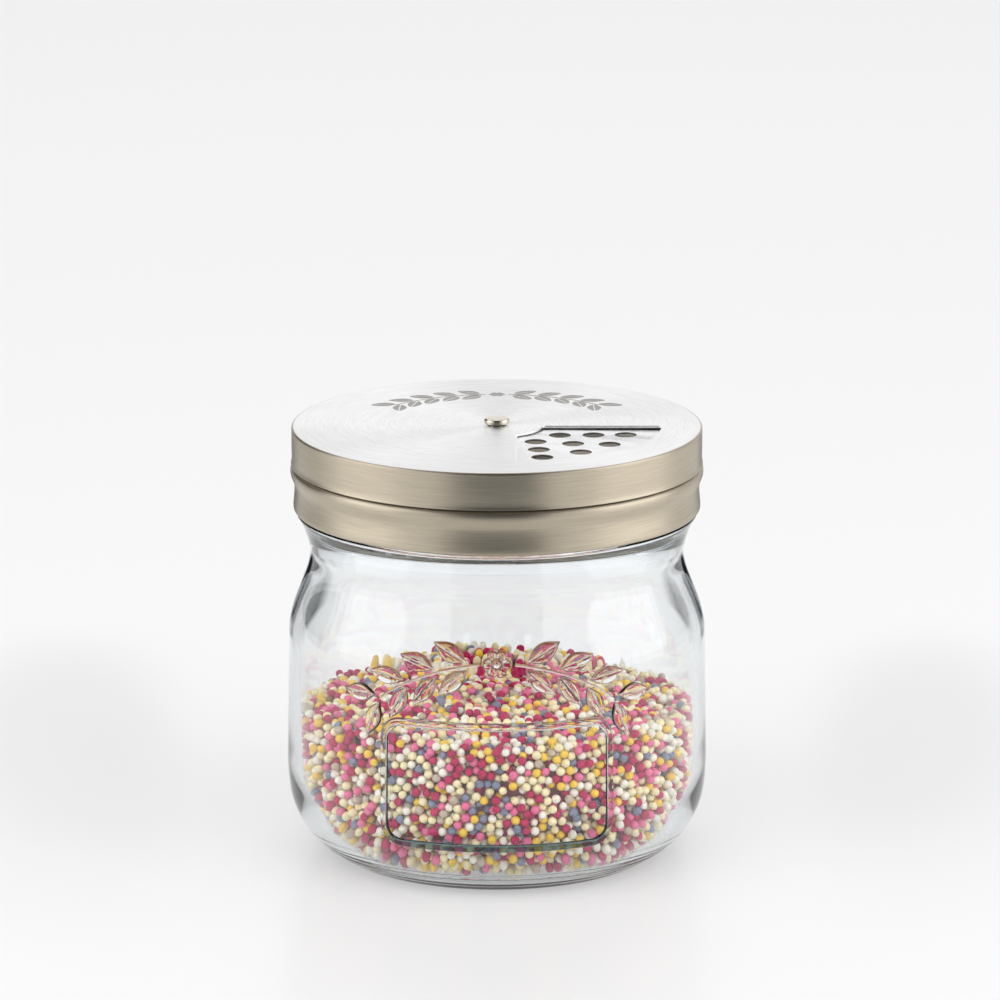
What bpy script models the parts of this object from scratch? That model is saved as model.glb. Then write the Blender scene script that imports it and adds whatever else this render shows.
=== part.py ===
# Glass shaker jar with a two-part steel lid: a screw cap with a sieve plate, and a selector cap
# that turns on it and opens one quarter at a time. Metres, +Z up, front towards -Y,
# origin on the table under the middle of the jar.
import math

import bmesh
import bpy
from mathutils import Vector

# Fits
REST_GAP = 0.0003            # between pieces that rest on each other
TURN_GAP = 0.0003            # round a piece that turns in or on another
OVERRUN = 0.002              # how far a cutter passes its plate
MERGE_DISTANCE = 0.000001

# Glass jar
JAR_HEIGHT = 0.0810          # table to the top of the rim
BODY_RADIUS = 0.0405
BODY_TAPER = 0.0004          # the side draws in by this much on its way up to the shoulder
GLASS_WALL = 0.0024
FOOT_RADIUS = 0.0302
FOOT_WIDTH = 0.0032          # flat ring that the jar stands on
BASE_HOLLOW = 0.0012         # rise of the underside inside the foot ring
BASE_THICKNESS = 0.0025      # glass in the middle of the base
FLOOR_CROWN = 0.0009         # the middle of the floor lies this much over its edge
HEEL_HEIGHT = 0.0180
HEEL_BOW = 0.0100            # inner heel, from the floor's edge out to the wall
SHOULDER_HEIGHT = 0.0155     # from the straight side up to the waist
WAIST_TO_RING = 0.0070       # from the waist up to the widest part of the neck ring
WAIST_DEPTH = 0.0009         # the waist is this much slimmer than the finish
NECK_RADIUS = 0.0368         # glass finish between its threads
RING_DEPTH = 0.0016          # the neck ring stands this much out of the finish
RING_ROUND = 0.0006
FINISH_HEIGHT = 0.0138       # neck ring to rim, hidden in the lid
FINISH_WALL = 0.0033
RIM_ROUND = 0.0009

# Thread segments on the glass and the lugs that run under them
STARTS = 4
LEAD = 0.0180                # rise in one turn
THREAD_DEPTH = 0.0011
THREAD_HEIGHT = 0.0016
THREAD_SWEEP = math.radians(56)
THREAD_LAP = math.radians(10)    # the thread begins this far before the lug
THREAD_PLAY = 0.00035
THREAD_CLEARANCE = 0.00045       # thread crest to cap
LUG_SWEEP = math.radians(12)
LUG_HEIGHT = 0.0011
LUG_LIFT = 0.0008            # middle of the lug over the lower edge of the hem
LUG_ENGAGEMENT = 0.0007      # how far the lug reaches under the thread
RIDGE_ROOT = 0.0006          # depth of a raised form inside the wall that carries it

# Raised frame and ornament on the front of the glass
FRAME_WIDTH = 0.0448         # measured round the glass
FRAME_CORNER = 0.0036
FRAME_BAND = 0.0015
FRAME_RELIEF = 0.0006
GARLAND_REACH = 0.0235       # from the middle to the last leaf, measured round the glass
GARLAND_RISE = 0.0030        # top of the arch over the straight side
GARLAND_SAG = 0.0080         # the arch falls this far at its ends
LEAF_LENGTH = 0.0076
LEAF_WIDTH = 0.0036
LEAF_RELIEF = 0.0007
BLOSSOM_RADIUS = 0.0029

# Sprinkles
FILL_HEIGHT = 0.0305         # level at the glass
FILL_HEAP = 0.0012           # the middle lies this much higher
LUMP_PITCH = 0.0064          # between the main lumps of the packed balls
LUMP_DEPTH = 0.0020

# Steel lid
SHEET = 0.00035
SEAL_THICKNESS = 0.0011
SEAL_OVERHANG = 0.0007       # the ring is this much wider than the rim on both sides
CAP_CORNER = 0.0009
BEAD_DEPTH = 0.0008
BEAD_HEIGHT = 0.0038
BEAD_GAP = 0.0003            # lower edge of the selector to the bead
BAND_FLARE = 0.00015         # band under the bead, over the part above it
HEM_FLARE = 0.0002           # the band grows by this much down to the hem
HEM_RADIUS = 0.0005          # rolled lower edge
HEM_CLEARANCE = 0.0005       # hem over the neck ring of the glass
SELECTOR_HEIGHT = 0.0071
SELECTOR_CORNER = 0.0007
SELECTOR_FLARE = 0.0003      # the skirt opens by this much
LIP_HEIGHT = 0.0006          # turned-out lower edge of the skirt

# Window, sieve and pouring opening
WINDOW_INNER_RADIUS = 0.0088
WINDOW_OUTER_RADIUS = 0.0315
WINDOW_SIDE_INSET = 0.0032      # from the centre line to the straight side at the left
WINDOW_BACK_INSET = 0.0006      # from the centre line to the straight side at the back
WINDOW_CORNER = 0.0012
POUR_MARGIN = 0.0010         # the pouring opening is this much smaller than the window
SIEVE_TURN = math.radians(-3.5)  # the sieve lies this far behind the window, as photographed
COARSE_HOLE_RADIUS = 0.0021
COARSE_FIRST_ROW = 0.0134
COARSE_ROW_PITCH = 0.0059
FINE_HOLE_RADIUS = 0.0009
FINE_FIRST_ROW = 0.0135
FINE_ROW_PITCH = 0.0047

# Rivet and washer
RIVET_SHANK_RADIUS = 0.0015
RIVET_HEAD_RADIUS = 0.00245
RIVET_HEAD_HEIGHT = 0.0012
RIVET_TAIL_RADIUS = 0.0027
RIVET_TAIL_HEIGHT = 0.0007
WASHER_RADIUS = 0.0050
WASHER_THICKNESS = 0.0006

# Facets
ROUND_STEPS = 56
SHANK_STEPS = 24
COARSE_STEPS = 16
FINE_STEPS = 6
CORNER_STEPS = 3
SHEET_STEPS = 2
SHOULDER_STEPS = 6
HEEL_STEPS = 5
SECTOR_STEPS = 12
THREAD_STEPS = 7
LUG_STEPS = 3
FRAME_SIDE_STEPS = 9

# Shapes given as shares of the sizes above
HEEL_SHARES = (              # of the heel's height and of its width
    (1.0, 1.0), (0.78, 0.98), (0.62, 0.937), (0.478, 0.854), (0.361, 0.752),
    (0.261, 0.621), (0.178, 0.476), (0.111, 0.32), (0.056, 0.175), (0.019, 0.068), (0.0, 0.0))
FLARE_SHARES = ((0.86, 0.78), (0.64, 0.48), (0.36, 0.20))    # waist to ring: height, width
LEAF_SHARES = ((0.0, 0.12), (0.36, 0.95), (0.74, 0.8), (1.0, 0.0))   # length, half width
LEAF_STATION_SHARES = (0.2, 0.46, 0.72, 0.98)     # along one half of the garland
LEAF_ANGLE = math.radians(34)    # between a leaf and the arch
LEAF_OFFSET_SHARE = 0.13     # root of a leaf beside the arch, of its length
LEAF_EDGE_SHARE = 0.35       # relief at the edge of a leaf, of its middle
ARCH_STEP_SHARE = 0.01       # short step along the arch that gives its direction
BLOSSOM_NOTCH_SHARE = 0.7    # reach between two petals, of the reach at their tips
FRAME_BOTTOM_SHARE = 0.252   # of the height of the straight side
FRAME_TOP_SHARE = 0.793
FRAME_CREST_SHARE = 0.45     # width of the frame's top, of its band
RIDGE_CREST_SHARE = 0.5      # height of a ridge at its crest, of its root
RIDGE_END_SHARE = 0.35       # a ridge stands this much out at its two ends
HEAD_SHARES = (              # rivet head: radius, height
    (0.0, 1.0), (0.62, 0.97), (0.88, 0.83), (1.0, 0.52), (1.0, 0.22), (0.9, 0.0))
BEAD_SHARES = ((0.0, 0.0), (0.5, 0.03), (0.95, 0.18), (1.0, 0.34), (0.8, 0.56), (0.45, 0.78))  # depth, drop
COARSE_ROWS = ((2, math.radians(30.4)), (3, math.radians(48.4)), (4, math.radians(57.3)))
FINE_ROWS = ((3, math.radians(38)), (4, math.radians(50)), (5, math.radians(58)), (6, math.radians(62)))

FRONT = math.radians(-90)
WINDOW_ANGLE = math.radians(-45)
QUARTER = math.radians(90)
SHARP_ANGLE = math.radians(32)

# Sizes that follow from those above
INNER_RADIUS = BODY_RADIUS - GLASS_WALL
MOUTH_RADIUS = NECK_RADIUS - FINISH_WALL
WAIST_RADIUS = NECK_RADIUS - WAIST_DEPTH
RING_RADIUS = NECK_RADIUS + RING_DEPTH
RING_TOP = JAR_HEIGHT - FINISH_HEIGHT
WAIST_LEVEL = RING_TOP - RING_ROUND - WAIST_TO_RING
SHOULDER_LEVEL = WAIST_LEVEL - SHOULDER_HEIGHT
FLOOR_LEVEL = BASE_HOLLOW + BASE_THICKNESS - FLOOR_CROWN
SEAL_BOTTOM = JAR_HEIGHT + REST_GAP
SIEVE_BOTTOM = SEAL_BOTTOM + SEAL_THICKNESS + REST_GAP
SIEVE_TOP = SIEVE_BOTTOM + SHEET
SELECTOR_TOP = SIEVE_TOP + TURN_GAP + SHEET
SELECTOR_BOTTOM = SELECTOR_TOP - SELECTOR_HEIGHT
CREST_RADIUS = NECK_RADIUS + THREAD_DEPTH
CAP_RADIUS = CREST_RADIUS + THREAD_CLEARANCE + SHEET
SELECTOR_RADIUS = CAP_RADIUS + TURN_GAP + SHEET
HEM_BOTTOM = RING_TOP + HEM_CLEARANCE
LUG_LEVEL = HEM_BOTTOM + LUG_LIFT
THREAD_LEVEL = LUG_LEVEL + (LUG_HEIGHT + THREAD_HEIGHT) / 2 + THREAD_PLAY
RIVET_HOLE_RADIUS = RIVET_SHANK_RADIUS + TURN_GAP
WASHER_TOP = SIEVE_BOTTOM - REST_GAP
TAIL_TOP = WASHER_TOP - WASHER_THICKNESS - REST_GAP


def clear_scene():
    for item in list(bpy.data.objects):
        bpy.data.objects.remove(item, do_unlink=True)


def material(name, colour, roughness, metallic=0.0, transmission=0.0):
    made = bpy.data.materials.new(name)
    made.use_nodes = True
    shader = made.node_tree.nodes["Principled BSDF"]
    shader.inputs["Base Color"].default_value = (*colour, 1.0)
    shader.inputs["Roughness"].default_value = roughness
    shader.inputs["Metallic"].default_value = metallic
    shader.inputs["Transmission Weight"].default_value = transmission
    made.diffuse_color = (*colour, 1.0)
    return made


def add_object(name, bm, finish):
    """A mesh object from closed shells, each with its faces turned outwards."""
    bmesh.ops.recalc_face_normals(bm, faces=bm.faces)
    mesh = bpy.data.meshes.new(name)
    bm.to_mesh(mesh)
    bm.free()
    mesh.shade_smooth()
    mesh.set_sharp_from_angle(angle=SHARP_ANGLE)
    item = bpy.data.objects.new(name, mesh)
    bpy.context.scene.collection.objects.link(item)
    if finish:
        item.data.materials.append(finish)
    return item


def turned(name, profile, steps, finish, closed=False):
    """Spins points (radius, height) round the Z axis. An open profile begins and ends on the axis."""
    bm = bmesh.new()
    verts = [bm.verts.new((radius, 0, height)) for radius, height in profile]
    edges = [bm.edges.new(pair) for pair in zip(verts, verts[1:])]
    if closed:
        edges.append(bm.edges.new((verts[-1], verts[0])))
    bmesh.ops.spin(bm, geom=verts + edges, cent=(0, 0, 0), axis=(0, 0, 1),
                   angle=math.tau, steps=steps, use_merge=True)
    bmesh.ops.remove_doubles(bm, verts=bm.verts, dist=MERGE_DISTANCE)
    return add_object(name, bm, finish)


def corner(centre, radius, start, end, steps=CORNER_STEPS):
    """Points of an arc in a profile, angles in degrees, 0 outwards and 90 up."""
    angles = [math.radians(start + (end - start) * i / steps) for i in range(steps + 1)]
    return [(centre[0] + radius * math.cos(a), centre[1] + radius * math.sin(a)) for a in angles]


def offset(path, distance):
    """The path moved sideways, to the right of its direction of travel, with mitred corners."""
    points = [Vector(point) for point in path]
    sides = [Vector(((b - a).y, -(b - a).x)).normalized() for a, b in zip(points, points[1:])]
    moved = []
    for i, point in enumerate(points):
        before = sides[max(i - 1, 0)]
        after = sides[min(i, len(sides) - 1)]
        mitre = (before + after).normalized()
        moved.append(tuple(point + mitre * distance / mitre.dot(after)))
    return moved


def smooth_step(share):
    return share * share * (3 - 2 * share)


def glass_outer():
    """Profile of the glass outside, from the rim's middle down to the middle of the base."""
    rim_middle = JAR_HEIGHT - RIM_ROUND
    points = corner((NECK_RADIUS - RIM_ROUND, rim_middle), RIM_ROUND, 90, 0)
    points += [(NECK_RADIUS, RING_TOP + RING_ROUND)]
    points += corner((RING_RADIUS - RING_ROUND, RING_TOP - RING_ROUND), RING_ROUND, 90, 0)
    flare = RING_RADIUS - WAIST_RADIUS
    points += [(WAIST_RADIUS + flare * width, WAIST_LEVEL + WAIST_TO_RING * height)
               for height, width in FLARE_SHARES]
    fall = BODY_RADIUS - BODY_TAPER - WAIST_RADIUS
    for i in range(SHOULDER_STEPS + 1):
        share = i / SHOULDER_STEPS
        points.append((WAIST_RADIUS + fall * smooth_step(share), WAIST_LEVEL - SHOULDER_HEIGHT * share))
    heel = BODY_RADIUS - FOOT_RADIUS
    points += [(FOOT_RADIUS + heel * width, HEEL_HEIGHT * height) for height, width in HEEL_SHARES]
    inner_foot = FOOT_RADIUS - FOOT_WIDTH
    points += [(inner_foot, 0), (inner_foot - BASE_HOLLOW, BASE_HOLLOW / 2), (0, BASE_HOLLOW)]
    return points


def glass_inner():
    """Profile of the glass inside, from the middle of the floor up to the rim's middle."""
    floor_edge = INNER_RADIUS - HEEL_BOW
    points = [(0, FLOOR_LEVEL + FLOOR_CROWN)]
    bow_height = HEEL_HEIGHT - FLOOR_LEVEL
    for i in range(HEEL_STEPS + 1):
        angle = math.pi / 2 * i / HEEL_STEPS
        points.append((floor_edge + HEEL_BOW * math.sin(angle),
                       FLOOR_LEVEL + bow_height * (1 - math.cos(angle))))
    narrow = INNER_RADIUS - BODY_TAPER - MOUTH_RADIUS
    low = SHOULDER_LEVEL - GLASS_WALL / 2
    for i in range(SHOULDER_STEPS + 1):
        share = i / SHOULDER_STEPS
        points.append((MOUTH_RADIUS + narrow * (1 - smooth_step(share)), low + SHOULDER_HEIGHT * share))
    points += corner((MOUTH_RADIUS + RIM_ROUND, JAR_HEIGHT - RIM_ROUND), RIM_ROUND, 180, 90)
    return points


def glass_radius(level):
    """Radius of the glass outside at a height, between the foot and the waist."""
    points = [point for point in glass_outer() if point[1] <= WAIST_LEVEL][::-1]
    for low, high in zip(points, points[1:]):
        if low[1] <= level <= high[1] and high[1] > low[1]:
            return low[0] + (high[0] - low[0]) * (level - low[1]) / (high[1] - low[1])
    return WAIST_RADIUS


def on_glass(along, level, relief):
    """A point over the glass: distance round the front, height, and how far it stands out."""
    angle = FRONT + along / BODY_RADIUS
    radius = glass_radius(level) + relief
    return Vector((radius * math.cos(angle), radius * math.sin(angle), level))


def loft(bm, sections, closed):
    """Joins sections of equal length into one shell, closed round or capped at both ends."""
    rings = [[bm.verts.new(point) for point in section] for section in sections]
    pairs = list(zip(rings, rings[1:]))
    if closed:
        pairs.append((rings[-1], rings[0]))
    else:
        bm.faces.new(rings[0])
        bm.faces.new(rings[-1])
    for first, second in pairs:
        for i in range(len(first)):
            j = (i + 1) % len(first)
            bm.faces.new((first[i], first[j], second[j], second[i]))


def ridge(bm, middle, sweep, steps, root, crest, height, level):
    """A helical ridge on a wall: its middle angle and level, root and crest radius, and height."""
    sections = []
    for i in range(steps + 1):
        turn = sweep * (i / steps - 0.5)
        stand = RIDGE_END_SHARE if i in (0, steps) else 1.0
        tip = root + (crest - root) * stand
        slope = height * (1 - (1 - RIDGE_CREST_SHARE) * stand)
        rise = level + LEAD * turn / math.tau
        section = ((root, rise - height / 2), (tip, rise - slope / 2),
                   (tip, rise + slope / 2), (root, rise + height / 2))
        angle = middle + turn
        sections.append([(r * math.cos(angle), r * math.sin(angle), z) for r, z in section])
    loft(bm, sections, closed=False)


def combine(target, tool, operation):
    """Joins a hidden tool to its target, or cuts it out, with a Boolean that stays live."""
    tool.hide_render = True
    tool.display_type = "WIRE"
    step = target.modifiers.new(tool.name, "BOOLEAN")
    step.object = tool
    step.operation = operation
    step.solver = "EXACT"


def thread_tool():
    """The thread segments. Each begins just before its lug and climbs away over it."""
    bm = bmesh.new()
    middle_turn = THREAD_SWEEP / 2 - THREAD_LAP
    for i in range(STARTS):
        angle = FRONT + math.tau * i / STARTS + middle_turn
        level = THREAD_LEVEL + LEAD * middle_turn / math.tau
        ridge(bm, angle, THREAD_SWEEP, THREAD_STEPS, NECK_RADIUS - RIDGE_ROOT, CREST_RADIUS,
              THREAD_HEIGHT, level)
    return add_object("thread_tool", bm, None)


def frame_path():
    """Points (along, level) of the raised frame, anticlockwise from its lower left corner."""
    straight = SHOULDER_LEVEL
    bottom = straight * FRAME_BOTTOM_SHARE
    top = straight * FRAME_TOP_SHARE
    side = FRAME_WIDTH / 2 - FRAME_CORNER
    low = bottom + FRAME_CORNER
    high = top - FRAME_CORNER
    path = corner((-side, low), FRAME_CORNER, 180, 270)
    path += [(side * (2 * i / FRAME_SIDE_STEPS - 1), bottom) for i in range(1, FRAME_SIDE_STEPS)]
    path += corner((side, low), FRAME_CORNER, 270, 360)
    path += [(side + FRAME_CORNER, (low + high) / 2)]
    path += corner((side, high), FRAME_CORNER, 0, 90)
    path += [(side * (1 - 2 * i / FRAME_SIDE_STEPS), top) for i in range(1, FRAME_SIDE_STEPS)]
    path += corner((-side, high), FRAME_CORNER, 90, 180)
    path += [(-side - FRAME_CORNER, (low + high) / 2)]
    return path


def frame_tool():
    path = frame_path()
    half = FRAME_BAND / 2
    crest = half * FRAME_CREST_SHARE
    sections = []
    for i, point in enumerate(path):
        before = Vector(path[i - 1])
        after = Vector(path[(i + 1) % len(path)])
        direction = (after - before).normalized()
        side = Vector((direction.y, -direction.x))
        section = []
        for shift, relief in ((half, -RIDGE_ROOT), (crest, FRAME_RELIEF), (-crest, FRAME_RELIEF),
                              (-half, -RIDGE_ROOT)):
            place = Vector(point) + side * shift
            section.append(on_glass(place.x, place.y, relief))
        sections.append(section)
    bm = bmesh.new()
    loft(bm, sections, closed=True)
    return add_object("frame_tool", bm, None)


def garland_point(share):
    """A point (along, level) of the arch, at a share of its reach, negative to the left."""
    top = SHOULDER_LEVEL + GARLAND_RISE
    return Vector((GARLAND_REACH * share, top - GARLAND_SAG * share * share))


def raised_leaf(bm, base, direction):
    """One leaf: edge low over the glass, midrib high, root inside the wall."""
    side = Vector((-direction.y, direction.x))
    right, left, spine = [], [], []
    for length, width in LEAF_SHARES:
        middle = base + direction * LEAF_LENGTH * length
        spine.append(middle)
        right.append(middle + side * LEAF_WIDTH / 2 * width)
        left.append(middle - side * LEAF_WIDTH / 2 * width)
    rim = right[:-1] + left[::-1]
    tip = len(right) - 1
    edge = LEAF_RELIEF * LEAF_EDGE_SHARE
    upper = [bm.verts.new(on_glass(point.x, point.y, edge)) for point in rim]
    lower = [bm.verts.new(on_glass(point.x, point.y, -RIDGE_ROOT)) for point in rim]
    ribs = [bm.verts.new(on_glass(point.x, point.y, LEAF_RELIEF)) for point in spine[1:-1]]
    bm.faces.new(lower)
    for i in range(len(rim)):
        j = (i + 1) % len(rim)
        bm.faces.new((lower[i], lower[j], upper[j], upper[i]))
    for start, end, rib in ((0, 1, 0), (-1, 0, 0), (-2, -1, 0), (tip - 1, tip, -1), (tip, tip + 1, -1)):
        bm.faces.new((upper[start], upper[end], ribs[rib]))
    for i in range(len(ribs) - 1):
        bm.faces.new((upper[i + 1], upper[i + 2], ribs[i + 1], ribs[i]))
        bm.faces.new((upper[-2 - i], ribs[i], ribs[i + 1], upper[-3 - i]))


def garland_tool():
    """A blossom in the middle and pairs of leaves along both halves of the arch."""
    bm = bmesh.new()
    for half in (-1, 1):
        for share in LEAF_STATION_SHARES:
            place = garland_point(half * share)
            ahead = (garland_point(half * (share + ARCH_STEP_SHARE)) - place).normalized()
            for lean in (-LEAF_ANGLE, LEAF_ANGLE):
                turn = Vector((ahead.x * math.cos(lean) - ahead.y * math.sin(lean),
                               ahead.x * math.sin(lean) + ahead.y * math.cos(lean)))
                base = place + turn * LEAF_LENGTH * LEAF_OFFSET_SHARE
                raised_leaf(bm, base, turn)
    middle = garland_point(0)
    bottom, top = [], []
    for i in range(SECTOR_STEPS):
        angle = math.tau * i / SECTOR_STEPS
        reach = BLOSSOM_RADIUS * (1.0 if i % 2 else BLOSSOM_NOTCH_SHARE)
        place = middle + Vector((math.cos(angle), math.sin(angle))) * reach
        bottom.append(bm.verts.new(on_glass(place.x, place.y, -RIDGE_ROOT)))
        top.append(bm.verts.new(on_glass(place.x, place.y, LEAF_RELIEF * LEAF_EDGE_SHARE)))
    tip = bm.verts.new(on_glass(middle.x, middle.y, LEAF_RELIEF))
    bm.faces.new(bottom)
    for i in range(SECTOR_STEPS):
        j = (i + 1) % SECTOR_STEPS
        bm.faces.new((bottom[i], bottom[j], top[j], top[i]))
        bm.faces.new((top[i], top[j], tip))
    return add_object("garland_tool", bm, None)


def make_glass_jar():
    glass = material("clear_glass", (0.86, 0.91, 0.89), 0.02, transmission=1.0)
    profile = glass_inner() + glass_outer()
    jar = turned("glass_jar", profile, ROUND_STEPS, glass)
    combine(jar, thread_tool(), "UNION")
    combine(jar, frame_tool(), "UNION")
    combine(jar, garland_tool(), "UNION")
    return jar


def even_steps(path, step):
    """Points at even distances along the path, as near to the step as its length allows."""
    points = [Vector(point) for point in path]
    reaches = [0]
    for a, b in zip(points, points[1:]):
        reaches.append(reaches[-1] + (b - a).length)
    count = round(reaches[-1] / step)
    walked = []
    for i in range(count):
        goal = reaches[-1] * i / count
        leg = max(k for k, reach in enumerate(reaches[:-1]) if reach <= goal)
        share = (goal - reaches[leg]) / (reaches[leg + 1] - reaches[leg])
        walked.append(points[leg].lerp(points[leg + 1], share))
    return walked + [points[-1]]


def lumpy(profile, steps, bm):
    """Spins an open profile that begins and ends on the axis, with dents between its lumps."""
    rings = []
    for row, point in enumerate(profile[1:-1]):
        along = (profile[row + 2] - profile[row]).normalized()
        inward = Vector((-along.y, along.x))
        sideways = abs(along.y) > abs(along.x)
        ring = []
        for i in range(steps):
            angle = math.tau * i / steps
            if sideways:
                wave = 1 if (row + i) % 2 else -1
            else:
                x, y, level = polar(point.x, angle, point.y)
                wave = math.cos(math.tau * x / LUMP_PITCH) * math.cos(math.tau * y / LUMP_PITCH)
            place = point + inward * LUMP_DEPTH * (1 - wave) / 2
            ring.append(bm.verts.new(polar(place.x, angle, place.y)))
        rings.append(ring)
    ends = [bm.verts.new((0, 0, profile[0].y)), bm.verts.new((0, 0, profile[-1].y))]
    for lower, upper in zip(rings, rings[1:]):
        for i in range(steps):
            j = (i + 1) % steps
            bm.faces.new((lower[i], lower[j], upper[j], upper[i]))
    for i in range(steps):
        j = (i + 1) % steps
        bm.faces.new((rings[0][j], rings[0][i], ends[0]))
        bm.faces.new((rings[-1][i], rings[-1][j], ends[1]))


def make_sprinkles():
    """The heap of sugar balls as one solid with lumps, a small gap inside the glass."""
    sugar = material("sugar_balls", (0.85, 0.45, 0.55), 0.6)
    wall = [point for point in glass_inner() if point[1] < FILL_HEIGHT]
    wall.append((INNER_RADIUS, FILL_HEIGHT))
    skin = offset(wall, -REST_GAP)
    skin[0] = (0, skin[0][1])
    skin[-1] = (skin[-1][0], FILL_HEIGHT)
    top = [skin[-1], (0, FILL_HEIGHT + FILL_HEAP)]
    bm = bmesh.new()
    steps = 2 * round(math.pi * INNER_RADIUS / LUMP_PITCH)
    lumpy(even_steps(skin, LUMP_PITCH / 2)[:-1] + even_steps(top, LUMP_PITCH / 2), steps, bm)
    return add_object("sprinkles", bm, sugar)


def make_seal_ring():
    rubber = material("white_seal", (0.86, 0.86, 0.84), 0.5)
    inner = MOUTH_RADIUS - SEAL_OVERHANG
    outer = NECK_RADIUS + SEAL_OVERHANG
    top = SEAL_BOTTOM + SEAL_THICKNESS
    profile = [(inner, top), (outer, top), (outer, SEAL_BOTTOM), (inner, SEAL_BOTTOM)]
    return turned("seal_ring", profile, ROUND_STEPS, rubber, closed=True)


def screw_cap_path():
    """Outside of the pressed sheet, from the rivet hole to the start of the hem."""
    path = [(RIVET_HOLE_RADIUS, SIEVE_TOP)]
    path += corner((CAP_RADIUS - CAP_CORNER, SIEVE_TOP - CAP_CORNER), CAP_CORNER, 90, 0, SHEET_STEPS)
    bead_top = SELECTOR_BOTTOM - BEAD_GAP
    path += [(CAP_RADIUS + BEAD_DEPTH * depth, bead_top - BEAD_HEIGHT * drop) for depth, drop in BEAD_SHARES]
    band = CAP_RADIUS + BAND_FLARE
    path += [(band, bead_top - BEAD_HEIGHT - SHEET), (band + HEM_FLARE, HEM_BOTTOM + 2 * HEM_RADIUS)]
    return path


def lug_tool():
    bm = bmesh.new()
    root = CAP_RADIUS + BAND_FLARE + HEM_FLARE - SHEET / 2
    tip = CREST_RADIUS - LUG_ENGAGEMENT
    for i in range(STARTS):
        ridge(bm, FRONT + math.tau * i / STARTS, LUG_SWEEP, LUG_STEPS, root, tip, LUG_HEIGHT, LUG_LEVEL)
    return add_object("lug_tool", bm, None)


def polar(radius, angle, level):
    return (radius * math.cos(angle), radius * math.sin(angle), level)


def add_hole(bm, radius, place, bottom, top, steps):
    made = bmesh.ops.create_cone(bm, cap_ends=True, segments=steps, radius1=radius, radius2=radius,
                                 depth=top - bottom)
    middle = Vector((place[0], place[1], (bottom + top) / 2))
    bmesh.ops.translate(bm, verts=made["verts"], vec=middle)


def add_sector(bm, middle, insets, margin, bottom, top):
    """A prism over one quarter: two arcs and two straight sides with rounded corners."""
    outline = []
    for radius, forward in ((WINDOW_INNER_RADIUS + margin, False), (WINDOW_OUTER_RADIUS - margin, True)):
        start, end = [QUARTER / 2 - math.asin((inset + margin) / radius) for inset in insets]
        angles = [(start + end) * i / SECTOR_STEPS - start for i in range(SECTOR_STEPS + 1)]
        if not forward:
            angles.reverse()
        outline.append([polar(radius, middle + angle, bottom) for angle in angles])
    inner, outer = outline
    verts = [bm.verts.new(point) for point in inner + outer]
    face = bm.faces.new(verts)
    raised = bmesh.ops.extrude_face_region(bm, geom=[face])
    lifted = [item for item in raised["geom"] if isinstance(item, bmesh.types.BMVert)]
    bmesh.ops.translate(bm, verts=lifted, vec=(0, 0, top - bottom))
    ends = (verts[0], verts[SECTOR_STEPS], verts[SECTOR_STEPS + 1], verts[-1])
    uprights = [edge for edge in bm.edges if any(end in edge.verts for end in ends)
                and abs(edge.verts[0].co.z - edge.verts[1].co.z) > (top - bottom) / 2]
    bmesh.ops.bevel(bm, geom=uprights, offset=WINDOW_CORNER, segments=CORNER_STEPS, profile=0.5,
                    affect="EDGES", clamp_overlap=True)


def sieve_tool():
    """Round holes and the pouring opening. The fourth quarter stays blank."""
    bm = bmesh.new()
    bottom = SIEVE_BOTTOM - OVERRUN
    top = SIEVE_TOP + OVERRUN
    coarse = WINDOW_ANGLE - SIEVE_TURN
    for row, (count, spread) in enumerate(COARSE_ROWS):
        radius = COARSE_FIRST_ROW + COARSE_ROW_PITCH * row
        for i in range(count):
            angle = coarse + spread * (i / (count - 1) - 0.5)
            add_hole(bm, COARSE_HOLE_RADIUS, polar(radius, angle, 0), bottom, top, COARSE_STEPS)
    fine = coarse + 2 * QUARTER
    for row, (count, spread) in enumerate(FINE_ROWS):
        radius = FINE_FIRST_ROW + FINE_ROW_PITCH * row
        for i in range(count):
            angle = fine + spread * (i / (count - 1) - 0.5)
            add_hole(bm, FINE_HOLE_RADIUS, polar(radius, angle, 0), bottom, top, FINE_STEPS)
    add_sector(bm, coarse + QUARTER, (WINDOW_SIDE_INSET, WINDOW_SIDE_INSET), POUR_MARGIN, bottom, top)
    return add_object("sieve_tool", bm, None)


def make_screw_cap():
    steel = material("brushed_steel_cap", (0.62, 0.60, 0.56), 0.32, metallic=1.0)
    outside = screw_cap_path()
    inside = offset(outside, SHEET)
    inside[0] = (RIVET_HOLE_RADIUS, SIEVE_BOTTOM)
    hem_middle = (outside[-1][0] - HEM_RADIUS, HEM_BOTTOM + HEM_RADIUS)
    hem = corner(hem_middle, HEM_RADIUS, 0, -180, 2 * SHEET_STEPS)
    profile = outside + hem + [(inside[-1][0], HEM_BOTTOM + 2 * HEM_RADIUS + SHEET)] + inside[-2::-1]
    cap = turned("screw_cap", profile, ROUND_STEPS, steel, closed=True)
    combine(cap, sieve_tool(), "DIFFERENCE")
    combine(cap, lug_tool(), "UNION")
    return cap


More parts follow.
